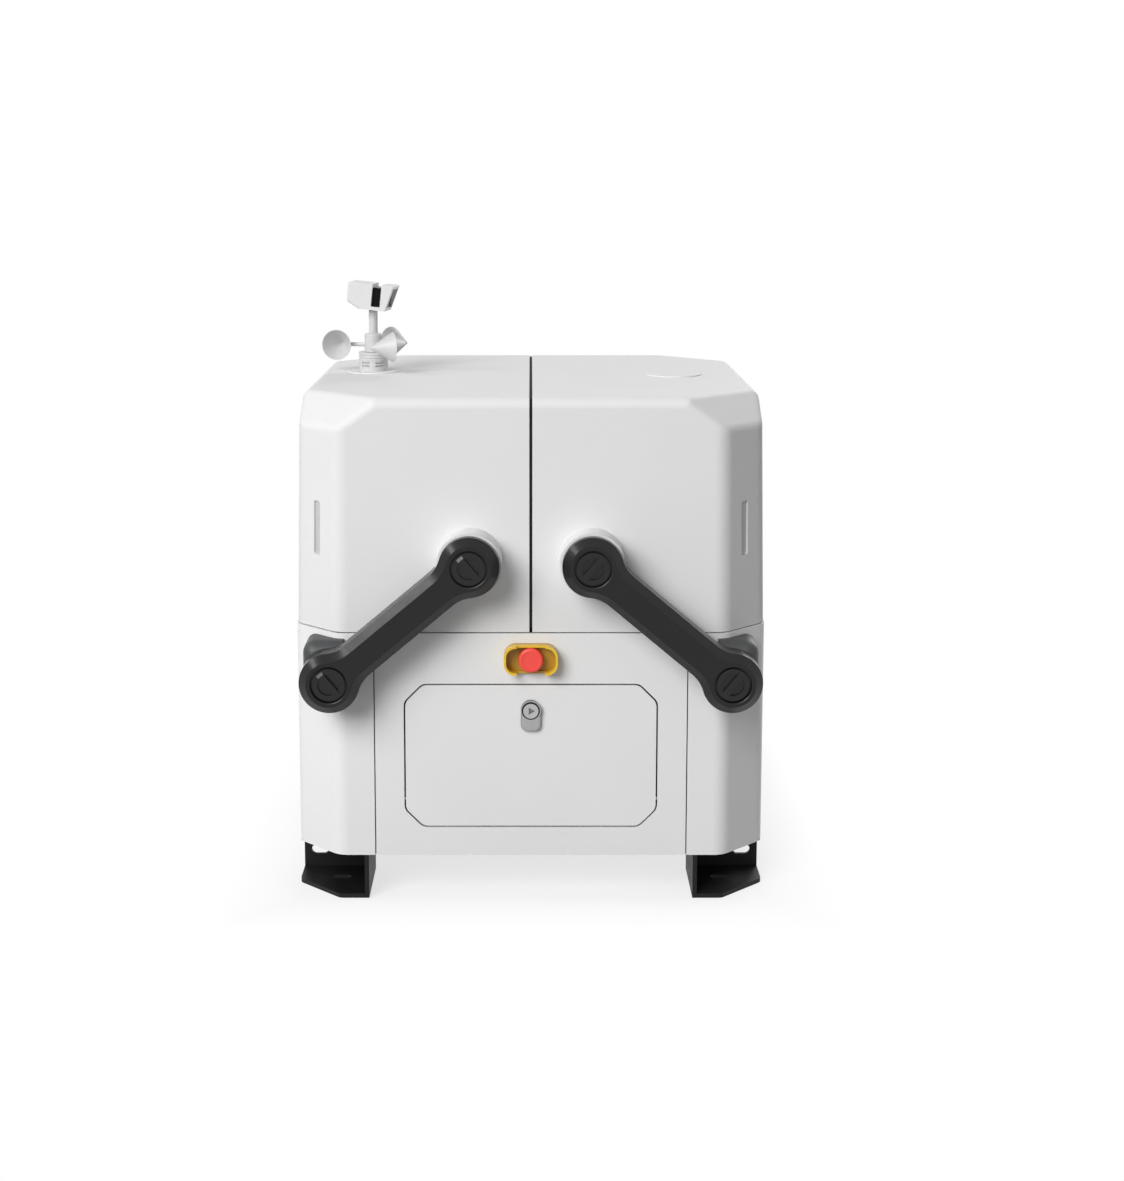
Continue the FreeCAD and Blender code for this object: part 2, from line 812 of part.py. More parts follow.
def make_drive_housings():
    """Black housings on the base's corners that carry the shaft bearings behind the arms."""
    top = base_top - dim.housing_top_drop
    housings = []
    bearings = []
    pulleys = []
    for side_name, side in SIDES.items():
        block = shell_block(side_name + "_housing_seat", side)
        for end_name, end in ENDS.items():
            name = f"{end_name}_{side_name}_housing"
            at = (side * low_pivot_x, low_pivot_z)
            limits = span(end, half_depth - dim.corner_cut, half_depth + housing_face)
            outer = half_width - dim.housing_outer_inset
            shoulder = box(name + "_shoulder", span(side, half_width - dim.housing_inner_inset, outer), limits,
                           (low_pivot_z, top))
            outer_x = outer.value

            front_y = (half_depth + housing_face).value

            def outside(edge):
                middle = edge.CenterOfMass
                outer_side = abs(abs(middle.x) - outer_x) < 1
                upper = abs(middle.z - top.value) < 1
                front = abs(abs(middle.y) - front_y) < 1
                return (outer_side and upper) or (front and upper) or (front and outer_side)

            shoulder = rounded(name + "_soft", shoulder, dim.housing_round, outside)
            hub = rod(name + "_hub", "y", dim.housing_hub_radius, limits, at)
            bore = rod(name + "_bore", "y", dim.bearing_radius, (-half_depth * 2, half_depth * 2), at)
            housings.append(cut(name, fuse(name + "_form", shoulder, hub), block, bore))
            bearing = rod(name + "_bush", "y", dim.bearing_radius - dim.running_gap,
                          span(end, half_depth - dim.shell_wall, half_depth + housing_face), at)
            shaft_hole = rod(name + "_bush_bore", "y", bore_radius, (-half_depth * 2, half_depth * 2), at)
            bearings.append(cut(name + "_bearing", bearing, shaft_hole))
            wheel = rod(name + "_wheel", "y", dim.pulley_radius,
                        span(end, half_depth + housing_face, half_depth + pulley_start + dim.pulley_length), at)
            clear = rod(name + "_wheel_bore", "y", bore_radius + dim.clear_gap,
                        (-half_depth * 2, half_depth * 2), at)
            pulleys.append(cut(name + "_pulley", wheel, clear))
    group("drive_housings", housings)
    group("shaft_bearings", bearings)
    group("fixed_pulleys", pulleys)


def make_drive_motors():
    """Hollow-shaft gear motor for each side, hung from the deck."""
    for side_name, side in SIDES.items():
        x = side * low_pivot_x
        gear_low = deck_under - dim.motor_box_height
        gearbox = box(side_name + "_gearbox", (x - dim.motor_box_width / 2, x + dim.motor_box_width / 2),
                      (-dim.motor_box_depth / 2, dim.motor_box_depth / 2), (gear_low, deck_under))
        gearbox = rounded(side_name + "_gearbox_soft", gearbox, dim.cap_thick,
                          lambda edge: runs_along(edge, Vector(0, 0, 1)))
        motor = rod(side_name + "_motor_can", "z", dim.motor_radius, (gear_low - dim.motor_length, gear_low),
                    (x, 0))
        bore = rod(side_name + "_gear_bore", "y", bore_radius, (-half_depth, half_depth), (x, low_pivot_z))
        keep(cut(side_name + "_motor_cut", fuse(side_name + "_motor_form", gearbox, motor), bore),
             side_name + "_drive_motor")


# Crank arms, in the arm's own frame: low pivot at the origin, high pivot along +X, outside at -Y

def arm_form(name, hub, width, neck, depth):
    """Two hubs joined by a bar, with hollow rounds where they meet, from the back to a depth."""
    limits = (-depth, 0)
    hubs = [rod(name + "_hub", "y", hub, limits, (x, 0)) for x in (0, arm_length)]
    bar = box(name + "_bar", (0, arm_length), limits, (-width / 2, width / 2))
    joined_form = fuse(name + "_form", *hubs, bar)
    corner = hypotenuse_side(hub, width / 2)

    def inner_corner(edge):
        x = edge.CenterOfMass.x
        near = min(abs(x - corner), abs(x - arm_length.value + corner))
        return runs_along(edge, Vector(0, 1, 0)) and near < 1

    return rounded(name, joined_form, neck, inner_corner)


def hypotenuse_side(long_side, short_side):
    """The value of a right triangle's other side."""
    return math.sqrt(long_side.value ** 2 - short_side.value ** 2)


def arm_turn(side, end):
    """How an arm's own frame is turned to stand on one side and at one end of the body."""
    angle = arm_angle if side < 0 else 180 - arm_angle
    swing = Rotation(Vector(0, -1, 0), angle)
    return swing if end < 0 else swing.multiply(Rotation(Vector(1, 0, 0), 180))


def stand_arm(thing, side, end):
    """Put something made in an arm's frame at its place on the body."""
    return place(thing, side * low_pivot_x, end * (half_depth + dim.arm_standoff), low_pivot_z,
                 arm_turn(side, end))


def make_arm(name):
    """Cast arm: bevelled front, open channel behind, seats for the pivot caps and bores for the shafts."""
    block = arm_form(name + "_block", dim.arm_hub_radius, dim.arm_bar_width, dim.arm_neck_round, dim.arm_thick)
    front = -dim.arm_thick.value
    block = bevelled(name + "_bevel", block, dim.arm_bevel,
                     lambda edge: edge.BoundBox.YMax < front + 0.01)
    wall = dim.arm_wall
    channel = arm_form(name + "_channel", dim.arm_hub_radius - wall, dim.arm_bar_width - wall * 2,
                       dim.arm_neck_round + wall, dim.arm_thick - dim.arm_web)
    head_clear = rod(name + "_head_clear", "y", dim.boss_radius + dim.arm_head_gap,
                     (dim.arm_head_thick - dim.arm_thick, dim.arm_thick), (arm_length, 0))
    tools = [channel, head_clear]
    for x in (0, arm_length):
        tools.append(rod(name + "_seat", "y", dim.cap_seat_radius,
                         (-dim.arm_thick * 2, dim.cap_seat_depth - dim.arm_thick), (x, 0)))
        tools.append(rod(name + "_bore", "y", bore_radius, (-dim.arm_thick * 2, dim.arm_thick), (x, 0)))
    seat_width = dim.cap_seat_radius.value * 2

    def seat_lip(edge):
        bounds = edge.BoundBox
        return bounds.YMax < front + 0.01 and abs(bounds.XLength - seat_width) < 0.1

    return rounded(name + "_lips", cut(name + "_cut", block, *tools), dim.cap_seat_round, seat_lip)


def make_cap(name, x):
    """Pivot cap: disc with a dished face and a raised bar with sloping ends across it, square to the arm."""
    floor = dim.cap_seat_depth - dim.arm_thick
    face = floor - dim.cap_thick
    disc = rod(name + "_disc", "y", dim.cap_radius, (face, floor), (x, 0))
    dish = rod(name + "_dish", "y", dim.cap_dish_radius, (-dim.arm_thick * 2, face + dim.cap_dish_depth), (x, 0))
    ring = cut(name + "_ring", disc, dish)
    reach = dim.cap_radius - dim.cap_bar_width / 4
    high, sloped = face - dim.cap_bar_proud, reach - dim.cap_bar_slope
    bar_view = [(face + dim.cap_dish_depth, -reach), (face + dim.cap_dish_depth, reach), (face, reach),
                (high, sloped), (high, -sloped), (face, -reach)]
    bar = prism(name + "_bar", "YZ_Plane", bar_view, (x - dim.cap_bar_width / 2, x + dim.cap_bar_width / 2))
    limit = rod(name + "_limit", "y", dim.cap_radius, (-dim.arm_thick * 2, 0), (x, 0))
    return fuse(name, ring, common(name + "_bar_end", bar, limit))


def belt_loop(name, radius, limits):
    """A solid round both pulleys: two round ends and the flat runs between them."""
    ends = [rod(name + "_end", "y", radius, limits, (x, 0)) for x in (0, arm_length)]
    return fuse(name, *ends, box(name + "_run", (0, arm_length), limits, (-radius, radius)))


def make_belt(name):
    """Toothed belt that holds the cover level, from the fixed pulley to the cover's pulley."""
    middle = dim.arm_standoff - pulley_start - dim.pulley_length / 2
    limits = (middle - dim.belt_width / 2, middle + dim.belt_width / 2)
    inner = dim.pulley_radius + dim.clear_gap
    outside = belt_loop(name + "_outside", inner + dim.belt_thick, limits)
    inside = belt_loop(name + "_inside", inner, (limits[0] * 2, 0))
    return cut(name, outside, inside)


def make_arm_sets():
    """Both arms of each side, their through shaft, pivot caps and belts."""
    for side_name, side in SIDES.items():
        caps = []
        belts = []
        for end_name, end in ENDS.items():
            name = f"{side_name}_{end_name}_arm"
            keep(stand_arm(make_arm(name + "_made"), side, end), name)
            for where, x in (("low", 0), ("high", arm_length)):
                caps.append(stand_arm(make_cap(f"{name}_{where}_cap", x), side, end))
            belts.append(stand_arm(make_belt(name + "_belt"), side, end))
        group(side_name + "_arm_caps", caps)
        group(side_name + "_arm_belts", belts)
        shaft_end = half_depth + cap_floor - dim.shaft_short
        keep(rod(side_name + "_shaft_bar", "y", dim.shaft_radius, (-shaft_end, shaft_end),
                 (side * low_pivot_x, low_pivot_z)), side_name + "_drive_shaft")


# Covers

def cover_inset_at(z):
    """How far the cover's face is drawn in at a height: it leans inwards evenly."""
    return dim.cover_inset + dim.cover_taper * (z - cover_bottom) / dim.cover_height


def leaning_block(name, wall, low, high):
    """A solid with the plan outline between two levels, its sides leaning in like the cover's."""
    body = doc.addObject("PartDesign::Body", name)
    pad = body.newObject("PartDesign::Pad", name + "_pad")
    pad.Profile = add_sketch(body, name + "_outline", "XY_Plane", low, octagon(cover_inset_at(low) + wall))
    bind(pad, "Length", high - low)
    lean = dim.cover_taper / dim.cover_height
    pad.setExpression("TaperAngle", f"-atan({lean.formula})")
    body.Tip = pad
    return body


def bevel_tool(name, side, end, inset):
    """A block whose underside is the sloping plane that cuts a cover's top corner."""
    level = cover_top - dim.bevel_drop
    draw_in = cover_inset_at(level)
    corner = dim.corner_cut - draw_in * (2 - 2 * ROOT_HALF)
    normal = Vector(side / 2, end / 2, ROOT_HALF)
    level_line = Vector(-end * ROOT_HALF, side * ROOT_HALF, 0)
    uphill = normal.cross(level_line)
    point = (side * (half_width - draw_in - corner / 2), end * (half_depth - draw_in - corner / 2), level)
    reach = dim.body_depth / 2
    tool = doc.addObject("Part::Box", name)
    for prop in ("Length", "Width", "Height"):
        bind(tool, prop, reach)
    start = [middle - (reach / 2) * line - (reach / 2) * hill - inset * up
             for middle, line, hill, up in zip(point, level_line, uphill, normal)]
    return place(tool, *start, Rotation(level_line, uphill, normal, "ZXY"))


def cover_form(name, side, wall, low, high):
    """The cover's closed outer or inner form: leaning sides and sloping top corners."""
    form = leaning_block(name + "_lean", wall, low, high)
    if not wall:
        half = box(name + "_side", span(side, dim.split_gap / 2, dim.body_width), (-half_depth, half_depth),
                   (low, high))
        form = common(name + "_half", form, half)
        facet = half_width.value - dim.corner_cut.value - dim.corner_round.value

        def upright(edge):
            bounds = edge.BoundBox
            return bounds.ZLength > dim.cover_height.value / 2 and abs(bounds.Center.x) > facet

        form = rounded(name + "_soft", form, dim.corner_round, upright)
    for end_name, end in ENDS.items():
        form = cut(f"{name}_{end_name}", form, bevel_tool(f"{name}_{end_name}_slope", side, end, wall))
    return form


def on_top(edge):
    """Whether an edge bounds the cover's top or one of its sloping corners, away from the middle."""
    bounds = edge.BoundBox
    split = dim.split_gap.value / 2
    if max(abs(bounds.XMin), abs(bounds.XMax)) < split + 1:
        return False
    return bounds.ZMin > (cover_top - dim.bevel_drop * 1.6).value


def light_places(side):
    """Middle of each status light on a side's two corner faces, with the way it faces."""
    level = base_top + dim.light_rise + dim.light_height / 2
    draw_in = cover_inset_at(level)
    corner = dim.corner_cut - draw_in * (2 - 2 * ROOT_HALF)
    x, y = half_width - draw_in - corner / 2, half_depth - draw_in - corner / 2
    return [(side * x, end * y, side, end) for end in ENDS.values()]


def light_block(name, where, width, height, depth, recess):
    """A block with rounded corners let into a corner face of the cover."""
    x, y, side, end = where
    out_x, out_y = side * ROOT_HALF, end * ROOT_HALF
    bar = doc.addObject("Part::Box", name + "_bar")
    bind(bar, "Length", depth)
    bind(bar, "Width", width)
    bind(bar, "Height", height)
    back = as_size(depth) + recess
    low = base_top + dim.light_rise + (dim.light_height - height) / 2
    place(bar, x - out_x * back + out_y * width / 2, y - out_y * back - out_x * width / 2, low,
          Rotation(Vector(0, 0, 1), math.degrees(math.atan2(end, side))))
    return rounded(name, bar, dim.light_round, lambda edge: runs_along(edge, Vector(out_x, out_y, 0)))


def make_covers():
    """Both half covers with their pivot bosses, status lights, centre seals, axles and pulleys."""
    pad_places = {"left": (mast_x, dim.top_pad_y), "right": (half_width - dim.spare_pad_inset, dim.spare_pad_y)}
    for side_name, side in SIDES.items():
        name = side_name + "_cover"
        outer = cover_form(name + "_outer", side, 0, cover_bottom, cover_top)
        outer = rounded(name + "_top", outer, dim.top_round, on_top)
        at = (side * dim.high_pivot_x, high_pivot_z)
        bosses = [rod(f"{name}_{end_name}_boss", "y", dim.boss_radius,
                      span(end, half_depth - dim.cover_inset - dim.cover_taper - dim.cover_wall,
                           half_depth + boss_end), at)
                  for end_name, end in ENDS.items()]
        top_pad = rod(name + "_top_pad", "z", dim.top_pad_radius,
                      (cover_top - dim.cover_wall, cover_top + dim.top_pad_height),
                      pad_places[side_name])
        solid = fuse(name + "_solid", outer, *bosses, top_pad)
        boss_width = dim.boss_radius.value * 2

        def boss_foot(edge):
            bounds = edge.BoundBox
            level = abs(bounds.Center.z - high_pivot_z.value) < 1
            round_foot = abs(bounds.XLength - boss_width) < 1 and bounds.ZLength > boss_width - 1
            return level and round_foot and abs(bounds.Center.y) < half_depth.value

        solid = rounded(name + "_flared", solid, dim.boss_flare, boss_foot)
        inner = cover_form(name + "_inner", side, dim.cover_wall, cover_bottom + dim.cover_lip_height,
                           cover_top - dim.cover_wall)
        mouth = leaning_block(name + "_mouth", dim.cover_lip_width, cover_bottom - dim.cover_lip_height,
                              cover_bottom + dim.cover_lip_height * 2)
        bore = rod(name + "_bore", "y", bore_radius, (-half_depth * 2, half_depth * 2), at)
        gap = dim.clear_gap
        sockets = [light_block(name + "_light_socket", where, dim.light_width + gap * 2,
                               dim.light_height + gap * 2, dim.light_depth * 3, -dim.light_depth)
                   for where in light_places(side)]
        keep(cut(name + "_shell", solid, inner, mouth, bore, *sockets), name)
        group(side_name + "_status_lights",
              [light_block(name + "_light", where, dim.light_width, dim.light_height, dim.light_depth,
                           dim.light_recess) for where in light_places(side)])
        make_split_seal(side_name, side)
        make_cover_axles(side_name, at)


def make_split_seal(side_name, side):
    """Rubber strip inside a cover along its middle edge: up the front, over the top and down the rear."""
    name = side_name + "_split_seal"
    near, far = dim.split_seal_gap / 2, dim.split_gap / 2 + dim.split_seal_width
    low = cover_bottom + dim.cover_lip_height

    inner_wall = dim.cover_wall + dim.split_seal_height
    whole = leaning_block(name + "_whole", dim.cover_wall, low, cover_top - dim.cover_wall)
    band = box(name + "_band", span(side, near, far), (-half_depth, half_depth), (low, cover_top))
    outside = common(name + "_outside", whole, band)
    inside = leaning_block(name + "_inside", inner_wall, low - dim.cover_lip_height, cover_top - inner_wall)
    keep(cut(name + "_cut", outside, inside), side_name + "_centre_seal")


def make_cover_axles(side_name, at):
    """Stub axles through the cover's bosses, flanged inside, with the pulleys fixed on them."""
    pieces = []
    inside = half_depth - dim.cover_inset - dim.cover_taper - dim.cover_wall
    for end_name, end in ENDS.items():
        name = f"{side_name}_{end_name}_axle"
        stub = rod(name + "_stub", "y", dim.shaft_radius,
                   span(end, inside - dim.axle_flange, half_depth + cap_floor - dim.shaft_short), at)
        flange = rod(name + "_flange", "y", dim.axle_flange_radius, span(end, inside - dim.axle_flange, inside), at)
        pieces.append(fuse(name, stub, flange))
        wheel = rod(name + "_wheel", "y", dim.pulley_radius,
                    span(end, half_depth + boss_end, half_depth + pulley_start + dim.pulley_length), at)
        hole = rod(name + "_wheel_bore", "y", bore_radius, (-half_depth * 2, half_depth * 2), at)
        pieces.append(cut(name + "_pulley", wheel, hole))
    group(side_name + "_cover_axles", pieces)


# Cabinet door, lock and emergency stop

def make_door():
    """Drop-down door: sheet with cut corners, stiffening rib and two hinge knuckles with their pins."""
    face, back = -half_depth, dim.door_sheet - half_depth
    gap = dim.door_gap
    middle = (0, (door_bottom + door_top) / 2)
    width, height = dim.door_width - gap * 2, door_top - door_bottom - gap * 2
    corner = dim.door_cut - gap * (2 - 2 * ROOT_HALF)
    skin = prism("door_form", "XZ_Plane", cut_rectangle(width, height, corner, middle), (face, back))
    skin = rounded("door_skin", skin, dim.door_round, lambda edge: runs_along(edge, Vector(0, 1, 0)))
    inset = dim.door_rib_inset
    rib = cut("door_rib",
              prism("rib_outside", "XZ_Plane", cut_rectangle(width - inset * 2, height - inset * 2, corner, middle),
                    (back - dim.door_sheet / 2, back + dim.door_rib_depth)),
              prism("rib_inside", "XZ_Plane",
                    cut_rectangle(width - (inset + dim.door_rib) * 2, height - (inset + dim.door_rib) * 2,
                                  corner, middle), (face, 0)))
    pieces = [skin, rib]
    pins = []
    knuckle = dim.hinge_knuckle
    lug_end = dim.door_width / 2 - gap * 2
    for side_name, side in SIDES.items():
        limits = span(side, lug_end - dim.hinge_lug, lug_end)
        pieces.append(box("door_lug", limits, (back - dim.door_sheet / 2, hinge_y),
                          (hinge_z - knuckle, hinge_z + knuckle)))
        pieces.append(rod("door_eye", "x", knuckle, limits, (hinge_y, hinge_z)))
        pins.append(rod(side_name + "_door_pin", "x", dim.hinge_pin_radius,
                        span(side, lug_end - dim.hinge_lug, dim.door_width / 2 + gap + dim.hinge_lug),
                        (hinge_y, hinge_z)))
    bore = rod("door_pin_bore", "x", dim.hinge_pin_radius + dim.running_gap, (-half_width, half_width),
               (hinge_y, hinge_z))
    lock_hole = rod("door_lock_hole", "y", dim.lock_sleeve_radius + dim.clear_gap, (-half_depth * 2, 0), (0, lock_z))
    keep(cut("door_cut", fuse("door_body", *pieces), bore, lock_hole), "cabinet_door")
    group("door_hinge_pins", pins)


def make_lock():
    """Lock: rounded metal housing with a pull lip below, turning cylinder, and the cam behind."""
    face = -half_depth
    proud = face - dim.lock_proud
    half = dim.lock_width / 2
    head = rod("lock_head", "y", half, (proud, face), (0, lock_z))
    tail = box("lock_tail", (-half, half), (proud, face), (lock_z - dim.lock_tail, lock_z))
    tail_low = lock_z.value - dim.lock_tail.value
    tail = rounded("lock_tail_soft", tail, dim.lock_width / 3,
                   lambda edge: runs_along(edge, Vector(0, 1, 0)) and abs(edge.CenterOfMass.z - tail_low) < 1)
    tail = rounded("lock_tail_lip", tail, dim.lock_round,
                   lambda edge: edge.BoundBox.YMax < proud.value + 0.01 and edge.CenterOfMass.z < lock_z.value - 1)
    sleeve = rod("lock_sleeve", "y", dim.lock_sleeve_radius, (face, face + dim.lock_sleeve_depth), (0, lock_z))
    seat_back = proud - dim.lock_face_proud + dim.lock_face_thick
    seat = rod("lock_seat", "y", dim.lock_face_radius + dim.lock_ring_gap, (proud * 2, seat_back), (0, lock_z))
    stem_bore = rod("lock_stem_bore", "y", dim.lock_stem_radius + dim.running_gap, (-half_depth * 2, 0), (0, lock_z))
    keep(cut("lock_body", fuse("lock_form", head, tail, sleeve), seat, stem_bore), "lock_housing")

    cylinder_face = proud - dim.lock_face_proud
    disc = rod("lock_disc", "y", dim.lock_face_radius, (cylinder_face, seat_back - dim.clear_gap), (0, lock_z))
    cam_face = face + dim.cam_back
    stem = rod("lock_stem", "y", dim.lock_stem_radius, (cylinder_face, cam_face), (0, lock_z))
    key = doc.addObject("Part::Prism", "lock_key_recess")
    key.Polygon = 3
    bind(key, "Circumradius", dim.lock_key_hole * 1.6)
    bind(key, "Height", dim.lock_face_thick)
    place(key, 0, cylinder_face - dim.lock_face_proud, lock_z, AXIS_TURN["y"])
    bush = rod("lock_key_bush", "y", dim.lock_key_hole * 2, (cylinder_face * 2, cylinder_face + dim.lock_face_proud / 2),
               (0, lock_z))
    keep(cut("lock_cylinder_body", fuse("lock_turning", disc, stem), key, bush), "lock_cylinder")

    half_cam = dim.cam_width / 2
    limits = (cam_face, cam_face + dim.cam_sheet)
    strip = box("cam_strip", (0, dim.cam_length - half_cam), limits, (lock_z - half_cam, lock_z + half_cam))
    ends = [rod("cam_end", "y", half_cam, limits, (x, lock_z)) for x in (0, dim.cam_length - half_cam)]
    keep(fuse("lock_cam_body", strip, *ends), "lock_cam")


def make_emergency_stop():
    """Emergency stop: yellow guard on the panel, contact block behind it, sliding plunger and red head."""
    face = -half_depth
    wall = dim.guard_wall
    centre = (0, stop_z)
    rim = face - dim.guard_proud
    half, reach = dim.guard_width / 2, dim.guard_height / 2
    outside = box("guard_form", (-half, half), (rim, face), (stop_z - reach, stop_z + reach))
    outside = rounded("guard_soft", outside, dim.guard_round, lambda edge: runs_along(edge, Vector(0, 1, 0)))
    inside = box("guard_hollow_form", (wall - half, half - wall), (rim * 2, face - wall),
                 (stop_z - reach + wall, stop_z + reach - wall))
    inside = rounded("guard_hollow", inside, dim.guard_round - wall, lambda edge: runs_along(edge, Vector(0, 1, 0)))
    half_notch = dim.guard_notch / 2
    low_notch = box("guard_low_notch", (-half_notch, half_notch), (rim * 2, face - dim.guard_notch_step),
                    (stop_z - dim.guard_height, stop_z))
    high_notch = box("guard_high_notch", (-half_notch, half_notch), (rim * 2, rim + dim.guard_notch_step),
                     (stop_z, stop_z + dim.guard_height))
    hole = rod("guard_hole", "y", dim.stop_neck_radius + dim.clear_gap, (-half_depth * 2, 0), centre)
    keep(cut("guard_cut_out", outside, inside, low_notch, high_notch, hole), "estop_guard")

    half_block = dim.stop_block_width / 2
    block = box("stop_block", (-half_block, half_block), (-panel_inner, dim.stop_block_depth - panel_inner),
                (stop_z - half_block, stop_z + half_block))
    neck_end = face - dim.stop_neck
    neck = rod("stop_neck", "y", dim.stop_neck_radius, (neck_end, -panel_inner), centre)
    bore_end = -panel_inner + dim.stop_block_depth - wall
    bore = rod("stop_bore", "y", dim.stop_stem_radius + dim.running_gap, (-half_depth * 2, bore_end), centre)
    keep(cut("stop_contacts", fuse("stop_block_form", block, neck), bore), "estop_contact_block")

    head_face = face - dim.stop_head_proud
    head_back = head_face + dim.stop_head_thick
    stem_front = head_face + dim.stop_head_thick / 2
    keep(rod("stop_stem", "y", dim.stop_stem_radius, (stem_front, bore_end - dim.stop_travel - wall), centre),
         "estop_plunger")
    head = rod("stop_head_disc", "y", dim.stop_head_radius, (head_face, head_back), centre)
    head = rounded("stop_head_soft", head, dim.stop_head_round,
                   lambda edge: abs(edge.BoundBox.YMax - head_face.value) < 0.01)
    dish = rod("stop_dish", "y", dim.stop_face_radius, (head_face * 2, head_face + dim.stop_face_dish), centre)
    socket = rod("stop_socket", "y", dim.stop_stem_radius + dim.running_gap, (stem_front - dim.running_gap, 0), centre)
    keep(cut("stop_head_body", head, dish, socket), "estop_head")


# Things inside the base

def make_cabinet():
    """Equipment box behind the door, open in front, with the modules on its back wall."""
    half = dim.cabinet_width / 2
    front, back = -panel_inner, dim.cabinet_depth - panel_inner
    low = base_bottom + dim.pan_lip + dim.cabinet_gap
    high = stop_z - dim.stop_block_width / 2 - dim.cabinet_gap
    sheet_thick = dim.cabinet_sheet
    case = box("cabinet_case", (-half, half), (front, back), (low, high))
    space = box("cabinet_space", (sheet_thick - half, half - sheet_thick), (front * 2, back - sheet_thick),
                (low + sheet_thick, high - sheet_thick))
    keep(cut("cabinet_box", case, space), "equipment_cabinet")

    wall = back - sheet_thick
    floor = low + sheet_thick
    margin = dim.motor_radius / 2
    left = -half + sheet_thick + margin

    supply = box("supply_case", (left, left + dim.supply_width), (wall - dim.supply_depth, wall),
                 (floor + margin, floor + margin + dim.supply_height))
    vents = [box("supply_vent", (left + margin, left + dim.supply_width - margin),
                 (wall - dim.supply_depth * 2, wall - dim.supply_depth + dim.cabinet_sheet),
                 (floor + margin * (2 + step), floor + margin * (2 + step) + dim.cabinet_sheet * 2))
             for step in range(7)]
    keep(cut("supply_body", supply, *vents), "power_supply")

    start = left + dim.supply_width + margin
    control = box("control_case", (start, start + dim.control_width), (wall - dim.control_depth, wall),
                  (floor + margin, floor + margin + dim.control_height))
    ports = [box("control_port", (start + margin * (1 + step * 2), start + margin * (2 + step * 2)),
                 (wall - dim.control_depth * 2, wall - dim.control_depth + dim.cabinet_sheet * 2),
                 (floor + margin * 2, floor + margin * 3)) for step in range(4)]
    keep(cut("control_body", control, *ports), "control_unit")

    start = start + dim.control_width + margin
    cells = box("battery_case", (start, start + dim.battery_width), (wall - dim.battery_depth, wall),
                (floor, floor + dim.battery_height))
    posts = [rod("battery_post", "z", dim.pole_radius, (floor + dim.battery_height - 1,
                 floor + dim.battery_height + margin), (start + dim.battery_width * share, wall - dim.battery_depth / 2))
             for share in (0.25, 0.75)]
    keep(fuse("battery_body", cells, *posts), "backup_battery")


def fan_z():
    """Height of the fan's axis."""
    return base_bottom + dim.cooler_rise + dim.cooler_height / 2


def make_cooler():
    """Cooling unit behind the rear vent: case with a fan ring and a finned back, and its fan."""
    half = dim.cooler_width / 2
    middle = fan_z()
    front, back = panel_inner - dim.cooler_depth, panel_inner
    ring_floor = back - dim.cooler_ring
    case = box("cooler_case", (-half, half), (front, back),
               (middle - dim.cooler_height / 2, middle + dim.cooler_height / 2))
    tools = [rod("cooler_well", "y", dim.fan_radius + dim.fan_tip_gap, (ring_floor, back * 2), (0, middle))]
    pitch = dim.vent_pitch
    for step in range(-4, 5):
        x = pitch * step * 1.15
        tools.append(box("cooler_fin_gap", (x - dim.vent_slot / 2, x + dim.vent_slot / 2),
                         (front * 0.5, front + dim.cooler_depth / 2), (0, base_top)))
    body = cut("cooler_hollow", case, *tools)
    axle_end = ring_floor + dim.fan_depth + dim.fan_tip_gap
    axle = rod("cooler_axle", "y", dim.fan_axle_radius, (ring_floor - dim.fan_tip_gap, axle_end), (0, middle))
    keep(fuse("cooler_body", body, axle), "cooling_unit")

    low = ring_floor + dim.fan_tip_gap
    limits = (low, low + dim.fan_depth)
    hub = rod("fan_hub", "y", dim.fan_hub_radius, limits, (0, 0))
    blades = []
    for index in range(FAN_BLADES):
        blade = box("fan_blade", (-dim.fan_blade_sheet / 2, dim.fan_blade_sheet / 2),
                    (-dim.fan_depth / 2, dim.fan_depth / 2), (dim.fan_hub_radius / 2, dim.fan_radius))
        pitch_turn = Rotation(Vector(0, 0, 1), 40)
        around = Rotation(Vector(0, 1, 0), 360 * index / FAN_BLADES)
        swung = doc.addObject("Part::MultiCommon", "fan_blade_trim")
        frame = carried("fan_blade_turned", blade)
        frame.Placement = Placement(Vector(), pitch_turn)
        lifted = carried("fan_blade_around", frame)
        lifted.Placement = Placement(Vector(0, (low + dim.fan_depth / 2).value, 0), around)
        swung.Shapes = [lifted, rod("fan_limit", "y", dim.fan_radius, limits, (0, 0))]
        blades.append(swung)
    bore = rod("fan_bore", "y", dim.fan_axle_radius + dim.running_gap, (0, back * 2), (0, 0))
    fan = cut("fan_body", fuse("fan_form", hub, *blades), bore)
    keep(place(fan, 0, 0, middle), "cooling_fan")


# Wind gauge and camera on the left cover

